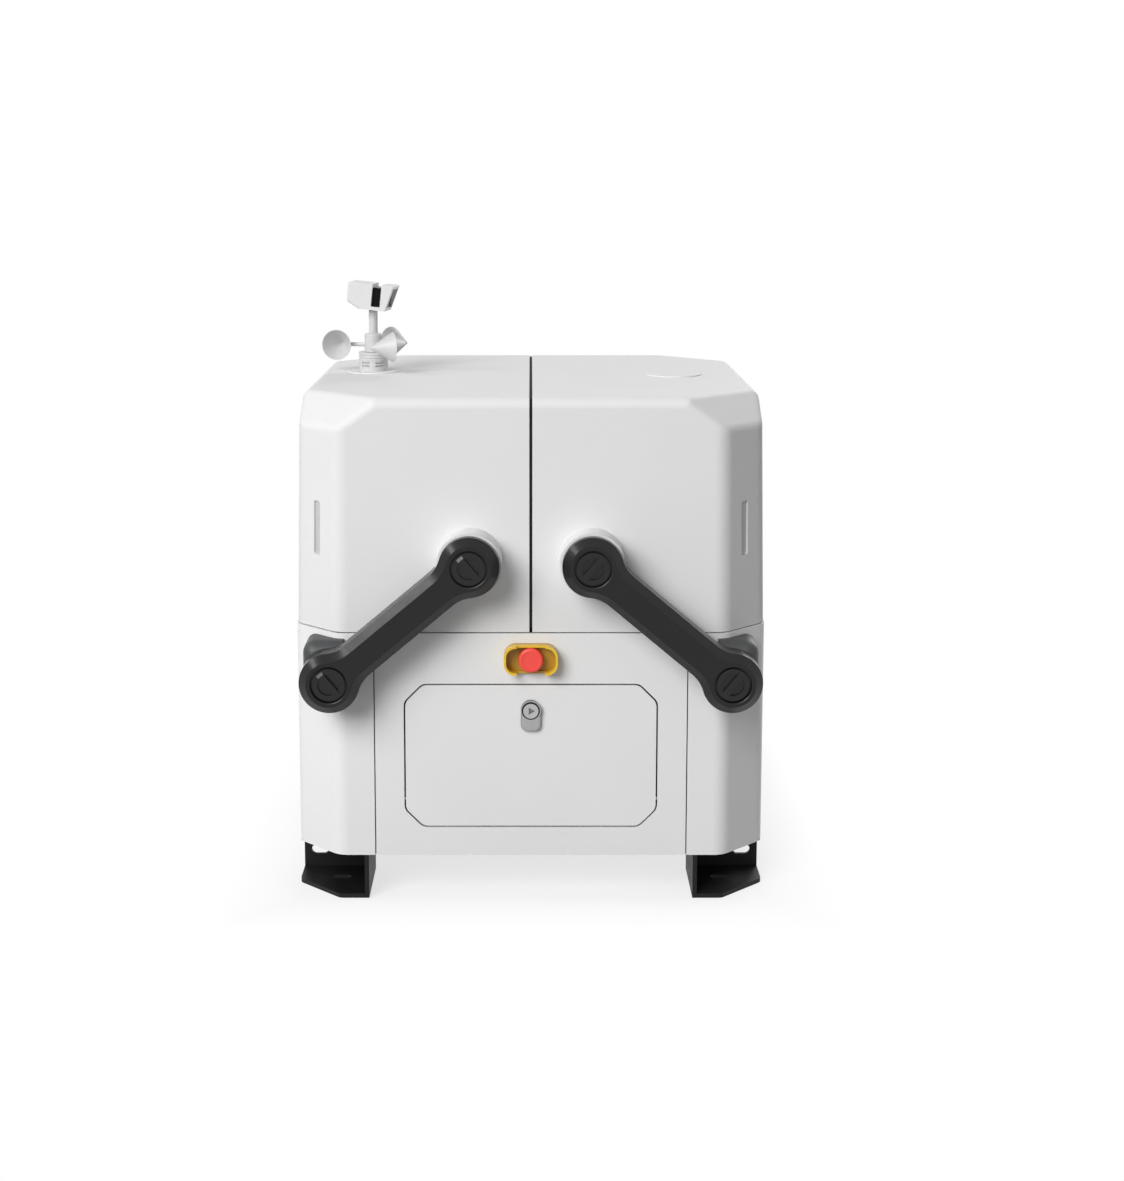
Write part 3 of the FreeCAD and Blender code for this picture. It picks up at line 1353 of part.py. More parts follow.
def make_wind_gauge():
    """Wind gauge: slotted base and grooved ring on the left cover, and the rotor with three cups."""
    x, y = mast_x, dim.top_pad_y
    low = cover_top + dim.top_pad_height
    ring_low = low + dim.gauge_base_height
    ring_high = ring_low + dim.gauge_ring_height
    base = rod("gauge_base", "z", dim.gauge_base_radius, (low, ring_low), (x, y))
    ring = rod("gauge_ring", "z", dim.gauge_ring_radius, (ring_low, ring_high), (x, y))
    tools = [rod("gauge_bore", "z", dim.pole_radius + dim.running_gap, (low + dim.gauge_slot_depth, ring_high * 2), (x, y))]
    for index in range(GAUGE_SLOTS):
        angle = 360 * index / GAUGE_SLOTS
        width = dim.gauge_base_radius * 2 * math.sin(math.pi / GAUGE_SLOTS) * GAUGE_SLOT_SHARE
        for level in (0.5, 0.78):
            slot = box("gauge_slot_form", (dim.gauge_base_radius - dim.gauge_slot_depth, dim.gauge_base_radius * 2),
                       (-width / 2, width / 2), (0, dim.gauge_slot_height))
            turned = carried("gauge_slot", slot)
            tools.append(place(turned, x, y, low + dim.gauge_base_height * level - dim.gauge_slot_height / 2,
                               Rotation(Vector(0, 0, 1), angle)))
    for share in (0.25, 0.6):
        level = ring_low + dim.gauge_ring_height * share
        groove = doc.addObject("Part::Torus", "gauge_groove")
        bind(groove, "Radius1", dim.gauge_ring_radius)
        bind(groove, "Radius2", dim.gauge_groove)
        tools.append(place(groove, x, y, level))
    keep(cut("gauge_body", fuse("gauge_form", base, ring), *tools), "wind_gauge_base")

    hub_low = ring_high + dim.rotor_gap
    hub_high = hub_low + dim.rotor_hub_height
    cup_z = hub_low + dim.cup_rise
    pieces = [rod("rotor_hub", "z", dim.rotor_hub_radius, (0, dim.rotor_hub_height), (0, 0))]
    pieces[0] = rounded("rotor_hub_soft", pieces[0], dim.gauge_slot_depth,
                        lambda edge: edge.BoundBox.ZMin > dim.rotor_hub_height.value - 0.01)
    hollows = [rod("rotor_bore", "z", dim.pole_radius + dim.running_gap, (-hub_high, hub_high), (0, 0))]
    for angle in CUP_ANGLES:
        around = Rotation(Vector(0, 0, 1), angle)
        arm = rod("cup_arm_form", "x", dim.cup_arm_radius, (0, dim.cup_reach - dim.cup_radius / 2), (0, dim.cup_rise))
        pieces.append(turned_copy("cup_arm", arm, around))
        tip = dim.cup_wall
        shell = cone("cup_shell_form", "y", (tip, dim.cup_radius), (-dim.cup_depth / 2, dim.cup_depth / 2),
                     (dim.cup_reach, dim.cup_rise))
        pieces.append(turned_copy("cup_shell", shell, around))
        hollow = cone("cup_hollow_form", "y", (0, dim.cup_radius - dim.cup_wall / 2),
                      (dim.cup_wall * 1.6 - dim.cup_depth / 2, dim.cup_depth / 2 + dim.running_gap),
                      (dim.cup_reach, dim.cup_rise))
        hollows.append(turned_copy("cup_hollow", hollow, around))
    rotor = cut("rotor_body", fuse("rotor_form", *pieces), *hollows)
    keep(place(rotor, x, y, hub_low), "wind_rotor")


def turned_copy(name, form, turn):
    """A form turned about the origin."""
    turned = carried(name, form)
    turned.Placement = Placement(Vector(), turn)
    return turned


def make_camera():
    """Camera on the mast: rear housing, front bezel, and a black core that ends in the lens window."""
    x, y = mast_x, dim.top_pad_y
    gauge_top = cover_top + dim.top_pad_height + dim.gauge_base_height + dim.gauge_ring_height
    pole_top = gauge_top + dim.pole_height
    keep(rod("mast_pole", "z", dim.pole_radius, (gauge_top - dim.pole_seat, pole_top), (x, y)), "camera_mast")

    half = dim.camera_width / 2
    high, low = dim.camera_height / 2, -dim.camera_height / 2
    back = -dim.camera_length / 2
    rear_end = back + dim.camera_rear
    bezel_start = back + dim.camera_length - dim.camera_bezel
    nose = back + dim.camera_length
    chin = dim.camera_chin
    inset = dim.camera_core_inset
    side_view = [(back, chin / 2 + low), (back + chin, low), (bezel_start, low), (bezel_start, low + inset),
                 (rear_end, low + inset), (rear_end, high), (back, high)]
    housing = prism("camera_rear_form", "XZ_Plane", side_view, (-half, half))
    housing = rounded("camera_rear", housing, dim.camera_shell,
                      lambda edge: edge.BoundBox.XMax < rear_end.value - 0.01)
    core = box("camera_core_form", (rear_end, bezel_start), (inset - half, half - inset), (low + inset, high - inset))
    slant = dim.camera_shell
    bezel_view = [(bezel_start, low), (nose - dim.camera_visor, low), (nose, high), (bezel_start, high)]
    bezel = prism("camera_bezel_form", "XZ_Plane", bezel_view, (-half, half))
    bezel = rounded("camera_bezel_soft", bezel, dim.camera_shell / 2,
                    lambda edge: edge.BoundBox.XMin > bezel_start.value)
    window_view = [(bezel_start + slant * 2, low + inset), (nose * 2, low + inset), (nose * 2, high - inset),
                   (bezel_start + slant * 2, high - inset)]
    window_hole = prism("camera_window_hole", "XZ_Plane", window_view, (inset - half, half - inset))
    gap = dim.running_gap
    lens_hole = rod("camera_lens_hole", "x", dim.lens_radius + gap, (bezel_start - slant, nose), (0, 0))
    bezel = cut("camera_bezel_body", bezel, window_hole, lens_hole)
    glass = box("camera_glass_form", (bezel_start + slant * 2, bezel_start + dim.camera_glass),
                (inset + gap - half, half - inset - gap), (low + inset + gap, high - inset - gap))
    lens = rod("camera_lens_form", "x", dim.lens_radius, (bezel_start, nose - dim.camera_visor), (0, 0))
    middle_z = pole_top - dim.camera_seat - low
    turn = Rotation(Vector(0, 0, 1), CAMERA_YAW).multiply(Rotation(Vector(0, 1, 0), CAMERA_PITCH))
    sink = rod("camera_pole_socket", "z", dim.pole_radius + gap, (0, pole_top + gap), (x, y))
    standing = carried("camera_rear_standing", housing)
    place(standing, x, y, middle_z, turn)
    keep(cut("camera_rear_body", standing, sink), "camera_housing")
    standing_bezel = carried("camera_bezel_standing", bezel)
    keep(place(standing_bezel, x, y, middle_z, turn), "camera_bezel")
    standing_core = fuse("camera_core_standing", core, glass, lens)
    keep(place(standing_core, x, y, middle_z, turn), "camera_core")


def check_document():
    """Stop if any object of the document failed, or a sub-part has no valid solid."""
    for item in doc.Objects:
        if "Invalid" in item.State or "Error" in item.State:
            raise RuntimeError(f"{item.Label} ({item.Name}): {item.State}")
    for item in NODES:
        shape = item.Shape
        if shape.isNull() or not shape.isValid() or not shape.Solids:
            raise RuntimeError(f"{item.Label}: no valid solid")


def write_parts():
    """Write each sub-part to its own file."""
    os.makedirs("parts", exist_ok=True)
    for item in NODES:
        item.Shape.exportStep(f"parts/{item.Label}.step")


make_floor_pan()
make_side_shells()
make_front_panel()
make_rear_panel()
make_cable_glands()
make_deck()
make_brackets()
make_bracket_bolts()
make_drive_housings()
make_drive_motors()
make_arm_sets()
make_covers()
make_door()
make_lock()
make_emergency_stop()
make_cabinet()
make_cooler()
make_wind_gauge()
make_camera()
doc.recompute()
check_document()
write_parts()
print(len(NODES), "sub-parts")
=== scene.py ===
import json
import math

import bmesh
import bpy
import numpy as np
from bpy.props import FloatProperty, FloatVectorProperty, IntProperty, PointerProperty
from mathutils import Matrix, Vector


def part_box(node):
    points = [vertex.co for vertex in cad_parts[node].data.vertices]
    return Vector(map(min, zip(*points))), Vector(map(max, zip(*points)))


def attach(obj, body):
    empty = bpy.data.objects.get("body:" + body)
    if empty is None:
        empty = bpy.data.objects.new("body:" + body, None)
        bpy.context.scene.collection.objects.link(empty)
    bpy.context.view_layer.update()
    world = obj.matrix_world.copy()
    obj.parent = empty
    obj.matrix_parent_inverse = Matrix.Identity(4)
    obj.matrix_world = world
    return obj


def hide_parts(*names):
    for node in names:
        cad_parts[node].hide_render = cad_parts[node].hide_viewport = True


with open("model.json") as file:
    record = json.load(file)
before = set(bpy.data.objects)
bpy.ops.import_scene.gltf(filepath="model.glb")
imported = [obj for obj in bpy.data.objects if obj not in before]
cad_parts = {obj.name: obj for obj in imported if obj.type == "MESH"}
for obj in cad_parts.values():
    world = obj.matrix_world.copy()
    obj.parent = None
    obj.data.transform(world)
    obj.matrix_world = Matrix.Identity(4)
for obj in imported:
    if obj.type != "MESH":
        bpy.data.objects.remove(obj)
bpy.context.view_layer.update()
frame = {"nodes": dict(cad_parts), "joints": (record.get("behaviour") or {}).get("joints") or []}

bl_info = {
    "name": "Docking station dressing",
    "version": (1, 0, 0),
    "blender": (4, 5, 0),
    "location": "View3D > Sidebar > Dock",
    "description": "Finishes, seals, belts and studio for a two-cover docking station",
    "category": "Object",
}

JOINTS = {joint["name"]: joint for joint in frame["joints"]}

# Photo and camera
PHOTO_SIZE = (1124, 1181)
SENSOR_MM = 36.0

# Finishes: broad mottling, coarseness of the gloss, the noise's working band, and the dust near the floor
MOTTLE_SCALE = 7.0
GLOSS_COARSENESS = 12.0
NOISE_BAND = (0.3, 0.7)
LEAST_ROUGHNESS = 0.03
DUST_BAND = (0.06, 0.2)
DUST_SHARE = 0.05

# Radius and half width of each ring on the landing pad, in metres
PAD_RINGS = ((0.118, 0.005), (0.06, 0.003))

# Points along the added pieces
SEAM_POINTS = 24
ROUND_POINTS = 12
RING_POINTS = 64
TOOTH_POINTS = 6
BLADE_POINTS = 12

# Floor: its tones, where the shadow fades out, the least share of plain white, and the tone it throws back
FLOOR_POINTS = 15
FLOOR_TONES = (0.93, 0.95)
SHADOW_BAND = (0.31, 0.42)
LEAST_WHITE = 0.7
FLOOR_BOUNCE = 0.32


# Settings

def colour_property(name, description, default):
    """A colour that a user would change."""
    return FloatVectorProperty(name=name, description=description, default=default, size=3, min=0.0, max=1.0,
                               subtype="COLOR")


def length_property(name, description, default):
    """A length that a user would change, in metres."""
    return FloatProperty(name=name, description=description, default=default, min=0.0, unit="LENGTH",
                         precision=5)


def place_property(name, description, default):
    """A place that a user would change, in metres."""
    return FloatVectorProperty(name=name, description=description, default=default, size=3,
                               subtype="TRANSLATION", unit="LENGTH")


class DockFinishes(bpy.types.PropertyGroup):
    """Colours of the station's finishes."""

    shell: colour_property("Shell white", "Powder coat and moulded covers", (0.82, 0.82, 0.82))
    dust: colour_property("Dust", "Dust on the shell towards the floor", (0.45, 0.42, 0.38))
    # Painted shade: mixed into the lock housing and cylinder the deeper they lie behind their fronts, where
    # their recesses fall into shade
    painted_shade: colour_property("Grime", "Grime in the lock's recesses", (0.02, 0.02, 0.02))
    arm: colour_property("Arm black", "Cast crank arms", (0.004, 0.004, 0.0043))
    housing: colour_property("Housing grey", "Drive housings behind the arms", (0.043, 0.044, 0.046))
    bracket: colour_property("Bracket black", "Floor brackets", (0.006, 0.006, 0.0065))
    guard: colour_property("Guard yellow", "Guard round the stop button", (0.86, 0.55, 0.03))
    # Painted shade: darkens the guard's hollow towards its back, where the hollow falls into shade
    guard_painted_shade: colour_property("Guard shade", "Back of the guard's hollow", (0.2, 0.06, 0.0005))
    stop: colour_property("Stop red", "Head of the stop button", (0.968, 0.083, 0.061))
    lock: colour_property("Lock metal", "Lock housing", (0.36, 0.36, 0.365))
    key_face: colour_property("Key face", "Turning cylinder of the lock", (0.46, 0.46, 0.47))
    diffuser: colour_property("Light diffuser", "Status lights, unlit", (0.52, 0.53, 0.54))
    gauge: colour_property("Gauge grey", "Wind gauge, its rotor and the mast", (0.6, 0.6, 0.6))
    lens_black: colour_property("Lens black", "Core of the camera", (0.004, 0.004, 0.005))
    rubber: colour_property("Seal rubber", "Seals, belts and the landing pad", (0.018, 0.018, 0.019))
    mark: colour_property("Pad mark", "Rings on the landing pad", (0.7, 0.7, 0.68))
    deck: colour_property("Deck alloy", "Landing deck", (0.17, 0.174, 0.178))
    ramp: colour_property("Ramp grey", "Centring ramps", (0.07, 0.073, 0.077))
    brass: colour_property("Contact brass", "Charging contacts", (0.7, 0.52, 0.22))
    steel: colour_property("Turned steel", "Shafts, axles, pins and bolts", (0.56, 0.57, 0.58))
    bronze: colour_property("Bearing bronze", "Shaft bearings", (0.58, 0.38, 0.16))
    pulley: colour_property("Pulley alloy", "Fixed pulleys", (0.5, 0.51, 0.53))
    motor: colour_property("Motor casting", "Gear motors", (0.07, 0.072, 0.075))
    nylon: colour_property("Gland nylon", "Cable glands and contact block", (0.02, 0.02, 0.021))
    zinc: colour_property("Zinc sheet", "Floor pan and cabinet", (0.42, 0.43, 0.44))
    module: colour_property("Module alloy", "Power supply and cooling unit", (0.28, 0.285, 0.3))
    module_black: colour_property("Module black", "Control unit, battery and fan", (0.025, 0.026, 0.028))


class DockTrim(bpy.types.PropertyGroup):
    """Sizes of the pieces that are added to the frame."""

    seam_depth: length_property("Seam depth", "How far the seam strips lie below the panels", 0.0022)
    seam_inset: length_property("Seam inset", "How far the strips stop short of the panels' ends", 0.001)
    gasket_bead: length_property("Gasket bead", "Radius of the bead behind the door's edge", 0.0024)
    gasket_gap: length_property("Gasket gap", "From the door's edge to the middle of the bead", 0.0022)
    gasket_corner: length_property("Gasket corner", "Size of the gasket's cut corners", 0.025)
    gasket_bend: length_property("Gasket bend", "Radius of the gasket's bends", 0.015)
    gasket_rise: length_property("Gasket rise", "How far above the hinge the gasket starts", 0.011)
    gasket_depth: length_property("Gasket depth", "From the front panel's face to the gasket", 0.005)
    flange_width: length_property("Flange width", "Width of the gasket's flange", 0.006)
    flange_root: length_property("Flange root", "Where the flange meets the bead", 0.001)
    rim_corner: length_property("Rim corner", "Size of the rim bead's cut corners", 0.0569)
    rim_bend: length_property("Rim bend", "Radius of the rim bead's bends", 0.02)
    rim_width: length_property("Rim width", "Width of the rim bead's foot", 0.007)
    rim_foot: length_property("Rim foot", "Thickness of the rim bead's foot", 0.0014)
    lip_wall: length_property("Lip wall", "Wall of the covers over the centre seal", 0.005)
    lip_lean: length_property("Lip lean", "How far the covers' fronts lean back to the top", 0.0058)
    lip_bend: length_property("Lip bend", "Radius of the lip's bends at the top", 0.0135)
    lip_sink: length_property("Lip sink", "How far the split lip lies below the covers", 0.0015)
    lip_half_width: length_property("Lip half width", "Half the width of the split lip", 0.0017)
    lock_ring_radius: length_property("Lock ring", "Radius of the ring's section round the lock", 0.0009)
    belt_inner: length_property("Belt inner", "Radius of the belt's inside round a pulley", 0.0143)
    belt_thickness: length_property("Belt thickness", "Thickness of the belts with their teeth", 0.003)
    belt_width: length_property("Belt width", "Width of each belt", 0.007)
    tooth_pitch: length_property("Tooth pitch", "Distance between the belt's teeth", 0.005)
    tooth_height: length_property("Tooth height", "Height of the belt's teeth", 0.0011)
    blade_sheet: length_property("Blade sheet", "Thickness of the vent's louvre blades", 0.0012)
    blade_pitch: length_property("Blade pitch", "Distance between the blades", 0.015)
    blade_reach: length_property("Blade reach", "Half the length of a blade", 0.0648)
    blade_front: length_property("Blade front", "Depth of a blade's upper edge in the panel", 0.0004)
    blade_back: length_property("Blade back", "Depth of a blade's lower edge in the panel", 0.0042)
    blade_rise: length_property("Blade rise", "Half the height of a blade", 0.0031)
    blade_count: IntProperty(name="Blades", description="Louvre blades in the rear vent", default=7, min=1)


class DockStage(bpy.types.PropertyGroup):
    """Camera and studio."""

    eye: place_property("Eye", "Where the camera stands", (0.0, -2.856, 0.987))
    tilt: FloatProperty(name="Tilt", description="How far the camera looks down", default=math.radians(8.23),
                        subtype="ANGLE")
    lens: FloatProperty(name="Lens", description="Focal length in millimetres", default=59.55)
    shift_x: FloatProperty(name="Shift X", description="Sideways shift of the frame", default=0.0264)
    shift_y: FloatProperty(name="Shift Y", description="Upward shift of the frame", default=-0.12)
    key_power: FloatProperty(name="Key power", description="Watts of the key light", default=550.0)
    key_size: length_property("Key size", "Side of the key light", 4.4)
    key_place: place_property("Key place", "Where the key light stands", (-3.68, -5.96, 4.29))
    side_power: FloatProperty(name="Side power", description="Watts of the side light", default=42.0)
    side_size: length_property("Side size", "Side of the side light", 1.0)
    side_place: place_property("Side place", "Where the side light stands", (-4.71, -1.12, 4.26))
    back_power: FloatProperty(name="Back power", description="Watts of the back light", default=290.0)
    back_size: length_property("Back size", "Side of the back light", 5.0)
    back_place: place_property("Back place", "Where the back light stands", (4.0, 6.0, 3.84))
    aim: place_property("Aim", "What the lamps face", (0.0, 0.0, 0.4))
    sky_strength: FloatProperty(name="Sky strength", description="Even light from all round", default=0.24)
    floor_reach: length_property("Floor reach", "Half the side of the floor", 14.0)
    floor_drop: length_property("Floor drop", "How far the floor lies below the brackets", 0.0004)


def settings(part):
    """One of the scene's groups of settings."""
    return getattr(bpy.context.scene, "dock_" + part)


# Finishes

def shade(colour, factor):
    """A colour made lighter or darker, with full opacity."""
    return (*(min(1.0, channel * factor) for channel in colour), 1.0)


def add_node(tree, kind, links=None, **values):
    """Add a shader node, set its values and link its sockets to their sources."""
    node = tree.nodes.new(kind)
    for key, value in values.items():
        if key in node.inputs:
            node.inputs[key].default_value = value
        else:
            setattr(node, key, value)
    for socket, source in (links or {}).items():
        tree.links.new(source, node.inputs[socket])
    return node


def map_range(tree, value, source, target):
    """A value carried from one range to another and held at its ends."""
    ends = {"From Min": source[0], "From Max": source[1], "To Min": target[0], "To Max": target[1]}
    return add_node(tree, "ShaderNodeMapRange", {"Value": value}, **ends).outputs["Result"]


def object_axis(tree, axis):
    """A point's place along one axis of the frame."""
    where = add_node(tree, "ShaderNodeTexCoord").outputs["Object"]
    return add_node(tree, "ShaderNodeSeparateXYZ", {"Vector": where}).outputs[axis]


def mix_colour(material, factor, colour):
    """Mix a second colour into a finish by a factor."""
    tree = material.node_tree
    base = tree.nodes["Principled BSDF"].inputs["Base Color"]
    plain = base.links[0].from_socket
    mix = add_node(tree, "ShaderNodeMix", {"Factor": factor, "A": plain}, data_type="RGBA",
                   B=shade(colour, 1.0))
    tree.links.new(mix.outputs["Result"], base)


def new_finish(name, roughness, metallic=0.0):
    """A material with a principled shader."""
    material = bpy.data.materials.new(name)
    material.use_nodes = True
    tree = material.node_tree
    shader = tree.nodes["Principled BSDF"]
    shader.inputs["Roughness"].default_value = roughness
    shader.inputs["Metallic"].default_value = metallic
    return material, tree, shader


def surface_finish(name, colour, roughness, metallic=0.0, mottle=0.03, grain=900.0, bump=0.05,
                   stretch=(1, 1, 1), spread=0.07, depth=0.0003, specular=0.5):
    """A paint, plastic or metal: broad mottling of the colour, uneven gloss and a fine grain."""
    material, tree, shader = new_finish(name, roughness, metallic)
    shader.inputs["Specular IOR Level"].default_value = specular
    where = add_node(tree, "ShaderNodeTexCoord").outputs["Object"]
    mapped = add_node(tree, "ShaderNodeMapping", {"Vector": where}, Scale=stretch).outputs["Vector"]

    broad = add_node(tree, "ShaderNodeTexNoise", {"Vector": where}, Scale=MOTTLE_SCALE, Detail=5.0,
                     Roughness=0.6)
    ramp = add_node(tree, "ShaderNodeValToRGB", {"Fac": broad.outputs["Fac"]})
    dark, light = ramp.color_ramp.elements
    dark.position, light.position = NOISE_BAND
    dark.color = shade(colour, 1.0 - mottle)
    light.color = shade(colour, 1.0 + mottle)
    tree.links.new(ramp.outputs["Color"], shader.inputs["Base Color"])

    patch = add_node(tree, "ShaderNodeTexNoise", {"Vector": mapped}, Scale=grain / GLOSS_COARSENESS,
                     Detail=4.0, Roughness=0.6)
    gloss_band = (max(LEAST_ROUGHNESS, roughness - spread), min(1.0, roughness + spread))
    gloss = map_range(tree, patch.outputs["Fac"], NOISE_BAND, gloss_band)
    tree.links.new(gloss, shader.inputs["Roughness"])

    fine = add_node(tree, "ShaderNodeTexNoise", {"Vector": mapped}, Scale=grain, Detail=2.0, Roughness=0.5)
    relief = add_node(tree, "ShaderNodeBump", {"Height": fine.outputs["Fac"]}, Strength=bump, Distance=depth)
    tree.links.new(relief.outputs["Normal"], shader.inputs["Normal"])
    return material


def weathered_finish(name, colour, roughness, dust):
    """White powder coat: the plain finish with faint dust that gathers towards the floor."""
    material = surface_finish(name, colour, roughness, mottle=0.012, grain=1400.0, bump=0.06, spread=0.05)
    tree = material.node_tree
    mix_colour(material, map_range(tree, object_axis(tree, "Z"), DUST_BAND, (DUST_SHARE, 0.0)), dust)
    return material


def paint_shade_behind(material, node, tint, start, end, share):
    """Painted shade: a finish made darker from one depth behind the node's front to another, where a recess
    falls into shade.
    """
    front = min(corner[1] for corner in frame["nodes"][node].bound_box)
    tree = material.node_tree
    painted_shade = map_range(tree, object_axis(tree, "Y"), (front + start, front + end), (0.0, share))
    mix_colour(material, painted_shade, tint)


def rubber_finish(name, roughness, grain=600.0, bump=0.15, specular=0.5):
    """Black rubber with an uneven colour."""
    return surface_finish(name, settings("finishes").rubber, roughness, mottle=0.15, grain=grain, bump=bump,
                          specular=specular)


def pad_finish(name, rubber, mark):
    """Landing pad: coarse black rubber with two pale rings, each a band of distances from the middle."""
    material = surface_finish(name, rubber, 0.72, mottle=0.12, grain=300.0, bump=0.35, depth=0.0008)
    tree = material.node_tree
    where = add_node(tree, "ShaderNodeTexCoord").outputs["Object"]
    flat = add_node(tree, "ShaderNodeVectorMath", {0: where}, operation="MULTIPLY")
    flat.inputs[1].default_value = (1.0, 1.0, 0.0)
    reach = add_node(tree, "ShaderNodeVectorMath", {0: flat.outputs["Vector"]}, operation="LENGTH")
    rings = []
    for radius, half_width in PAD_RINGS:
        ring = add_node(tree, "ShaderNodeMath", {0: reach.outputs["Value"]}, operation="COMPARE")
        ring.inputs[1].default_value = radius
        ring.inputs[2].default_value = half_width
        rings.append(ring.outputs["Value"])
    both = add_node(tree, "ShaderNodeMath", dict(enumerate(rings)), operation="MAXIMUM")
    mix_colour(material, both.outputs["Value"], mark)
    return material


def seen_plainly(tree):
    """One for rays from the camera, reflections and glass, nought for the light that falls on things."""
    path = add_node(tree, "ShaderNodeLightPath")
    seen = path.outputs["Is Camera Ray"]
    for ray in ("Is Glossy Ray", "Is Transmission Ray"):
        either = add_node(tree, "ShaderNodeMath", {0: seen, 1: path.outputs[ray]}, operation="MAXIMUM")
        seen = either.outputs["Value"]
    return seen


def paint(material, *nodes):
    """Give a finish to CAD nodes."""
    for node in nodes:
        mesh = frame["nodes"][node].data
        mesh.materials.clear()
        mesh.materials.append(material)


def both_sides(*names):
    """The left and right node of each name."""
    return [f"{side}_{name}" for side in ("left", "right") for name in names]


# Surfaces

def grid_faces(rows, columns, wrap_rows, wrap_columns):
    """Quads of a grid of points, joined round where it wraps."""
    row = np.arange(rows if wrap_rows else rows - 1)[:, None]
    column = np.arange(columns if wrap_columns else columns - 1)[None, :]
    next_row, next_column = (row + 1) % rows, (column + 1) % columns
    corners = [row * columns + column, row * columns + next_column,
               next_row * columns + next_column, next_row * columns + column]
    shape = (row.size, column.size)
    return np.stack([np.broadcast_to(corner, shape) for corner in corners], -1).reshape(-1, 4)


def add_piece(name, grids, body, material, smooth=True):
    """A mesh object from grids of points, each with its faces, riding on a body."""
    points, faces, start = [], [], 0
    for grid, quads, caps in grids:
        points.append(grid.reshape(-1, 3))
        faces += (quads + start).tolist()
        faces += [[index + start for index in cap] for cap in caps]
        start += grid.shape[0] * grid.shape[1]
    mesh = bpy.data.meshes.new(name)
    mesh.from_pydata(np.concatenate(points).tolist(), [], faces)
    mesh.polygons.foreach_set("use_smooth", np.full(len(mesh.polygons), smooth))
    mesh.materials.append(material)
    mesh.validate()
    shell = bmesh.new()
    shell.from_mesh(mesh)
    bmesh.ops.recalc_face_normals(shell, faces=shell.faces)
    shell.to_mesh(mesh)
    shell.free()
    piece = bpy.data.objects.new(name, mesh)
    bpy.context.scene.collection.objects.link(piece)
    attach(piece, body)
    return piece


def carried_profile(path, sideways, profile, axis, closed):
    """A closed profile (across, along) carried on a path: point = path + across * sideways + along * axis."""
    across, along = profile[:, 0][None, :, None], profile[:, 1][None, :, None]
    grid = path[:, None, :] + across * sideways[:, None, :] + along * np.asarray(axis, float)
    rows, columns = grid.shape[:2]
    ends = [list(range(columns)), list(range((rows - 1) * columns, rows * columns))]
    quads = grid_faces(rows, columns, wrap_rows=closed, wrap_columns=True)
    caps = [] if closed else ends
    return grid, quads, caps


def straight_bar(start, end, count, sideways, profile, axis):
    """A profile carried on a straight line from one point to another."""
    path = np.linspace(start, end, count)
    return carried_profile(path, np.tile(sideways, (count, 1)), profile, axis, closed=False)


def rounded_path(corners, radius, steps, closed):
    """A run of straight lines in a plane with each corner replaced by a tangent arc of one radius."""
    corners = np.asarray(corners, float)
    count = len(corners)
    pieces = []
    for index in range(count):
        here = corners[index]
        if not closed and index in (0, count - 1):
            pieces.append(here[None, :])
            continue
        before = corners[index - 1] - here
        after = corners[(index + 1) % count] - here
        before, after = before / np.linalg.norm(before), after / np.linalg.norm(after)
        half = math.acos(np.clip(before @ after, -1, 1)) / 2
        reach = radius / math.tan(half)
        share = np.linspace(0, 1, steps)[:, None]
        start, end = here + before * reach, here + after * reach
        centre = here + (before + after) / np.linalg.norm(before + after) * radius / math.sin(half)
        chord = (start - centre) * (1 - share) + (end - centre) * share
        pieces.append(centre + chord / np.linalg.norm(chord, axis=1)[:, None] * radius)
    return np.concatenate(pieces)


def path_sides(path, closed):
    """Unit vectors to the right of a plane path's direction of travel."""
    if closed:
        ahead = np.roll(path, -1, axis=0) - np.roll(path, 1, axis=0)
    else:
        ahead = np.gradient(path, axis=0)
    ahead = ahead / np.linalg.norm(ahead, axis=1)[:, None]
    return np.stack([ahead[:, 1], -ahead[:, 0]], -1)


def round_profile(radius, flat=1.0):
    """A round or flattened profile: (radius cos a, flat radius sin a)."""
    angle = np.linspace(0, 2 * math.pi, ROUND_POINTS, endpoint=False)
    return np.stack([radius * np.cos(angle), radius * flat * np.sin(angle)], -1)


def standing(plane_points, y):
    """Points (x, z) of an upright plane at one depth."""
    return np.stack([plane_points[:, 0], np.full(len(plane_points), y), plane_points[:, 1]], -1)


def lying(plane_points, z):
    """Points (x, y) of a level plane at one height."""
    return np.stack([plane_points[:, 0], plane_points[:, 1], np.full(len(plane_points), z)], -1)


def fore_and_aft(plane_points, x):
    """Points (y, z) of an upright plane that runs from front to rear."""
    return np.stack([np.full(len(plane_points), x), plane_points[:, 0], plane_points[:, 1]], -1)


# Operators

class DOCK_OT_shells(bpy.types.Operator):
    """Paint the panels, side shells, door and covers"""

    bl_idname = "dock.shells"
    bl_label = "Shells and covers"

    def execute(self, context):
        colours = settings("finishes")
        coat = weathered_finish("white_powder_coat", colours.shell, 0.42, colours.dust)
        paint(coat, "front_panel", "rear_panel", "cabinet_door", *both_sides("side_shell"))
        cover_white = shade(colours.shell, 0.94)[:3]
        moulded = surface_finish("white_moulding", cover_white, 0.55, mottle=0.01, grain=1100.0, bump=0.05,
                                 spread=0.05, specular=0.16)
        paint(moulded, *both_sides("cover"))
        diffuser = surface_finish("light_diffuser", colours.diffuser, 0.3, mottle=0.05, grain=500.0,
                                  bump=0.15)
        paint(diffuser, *both_sides("status_lights"))
        return {"FINISHED"}


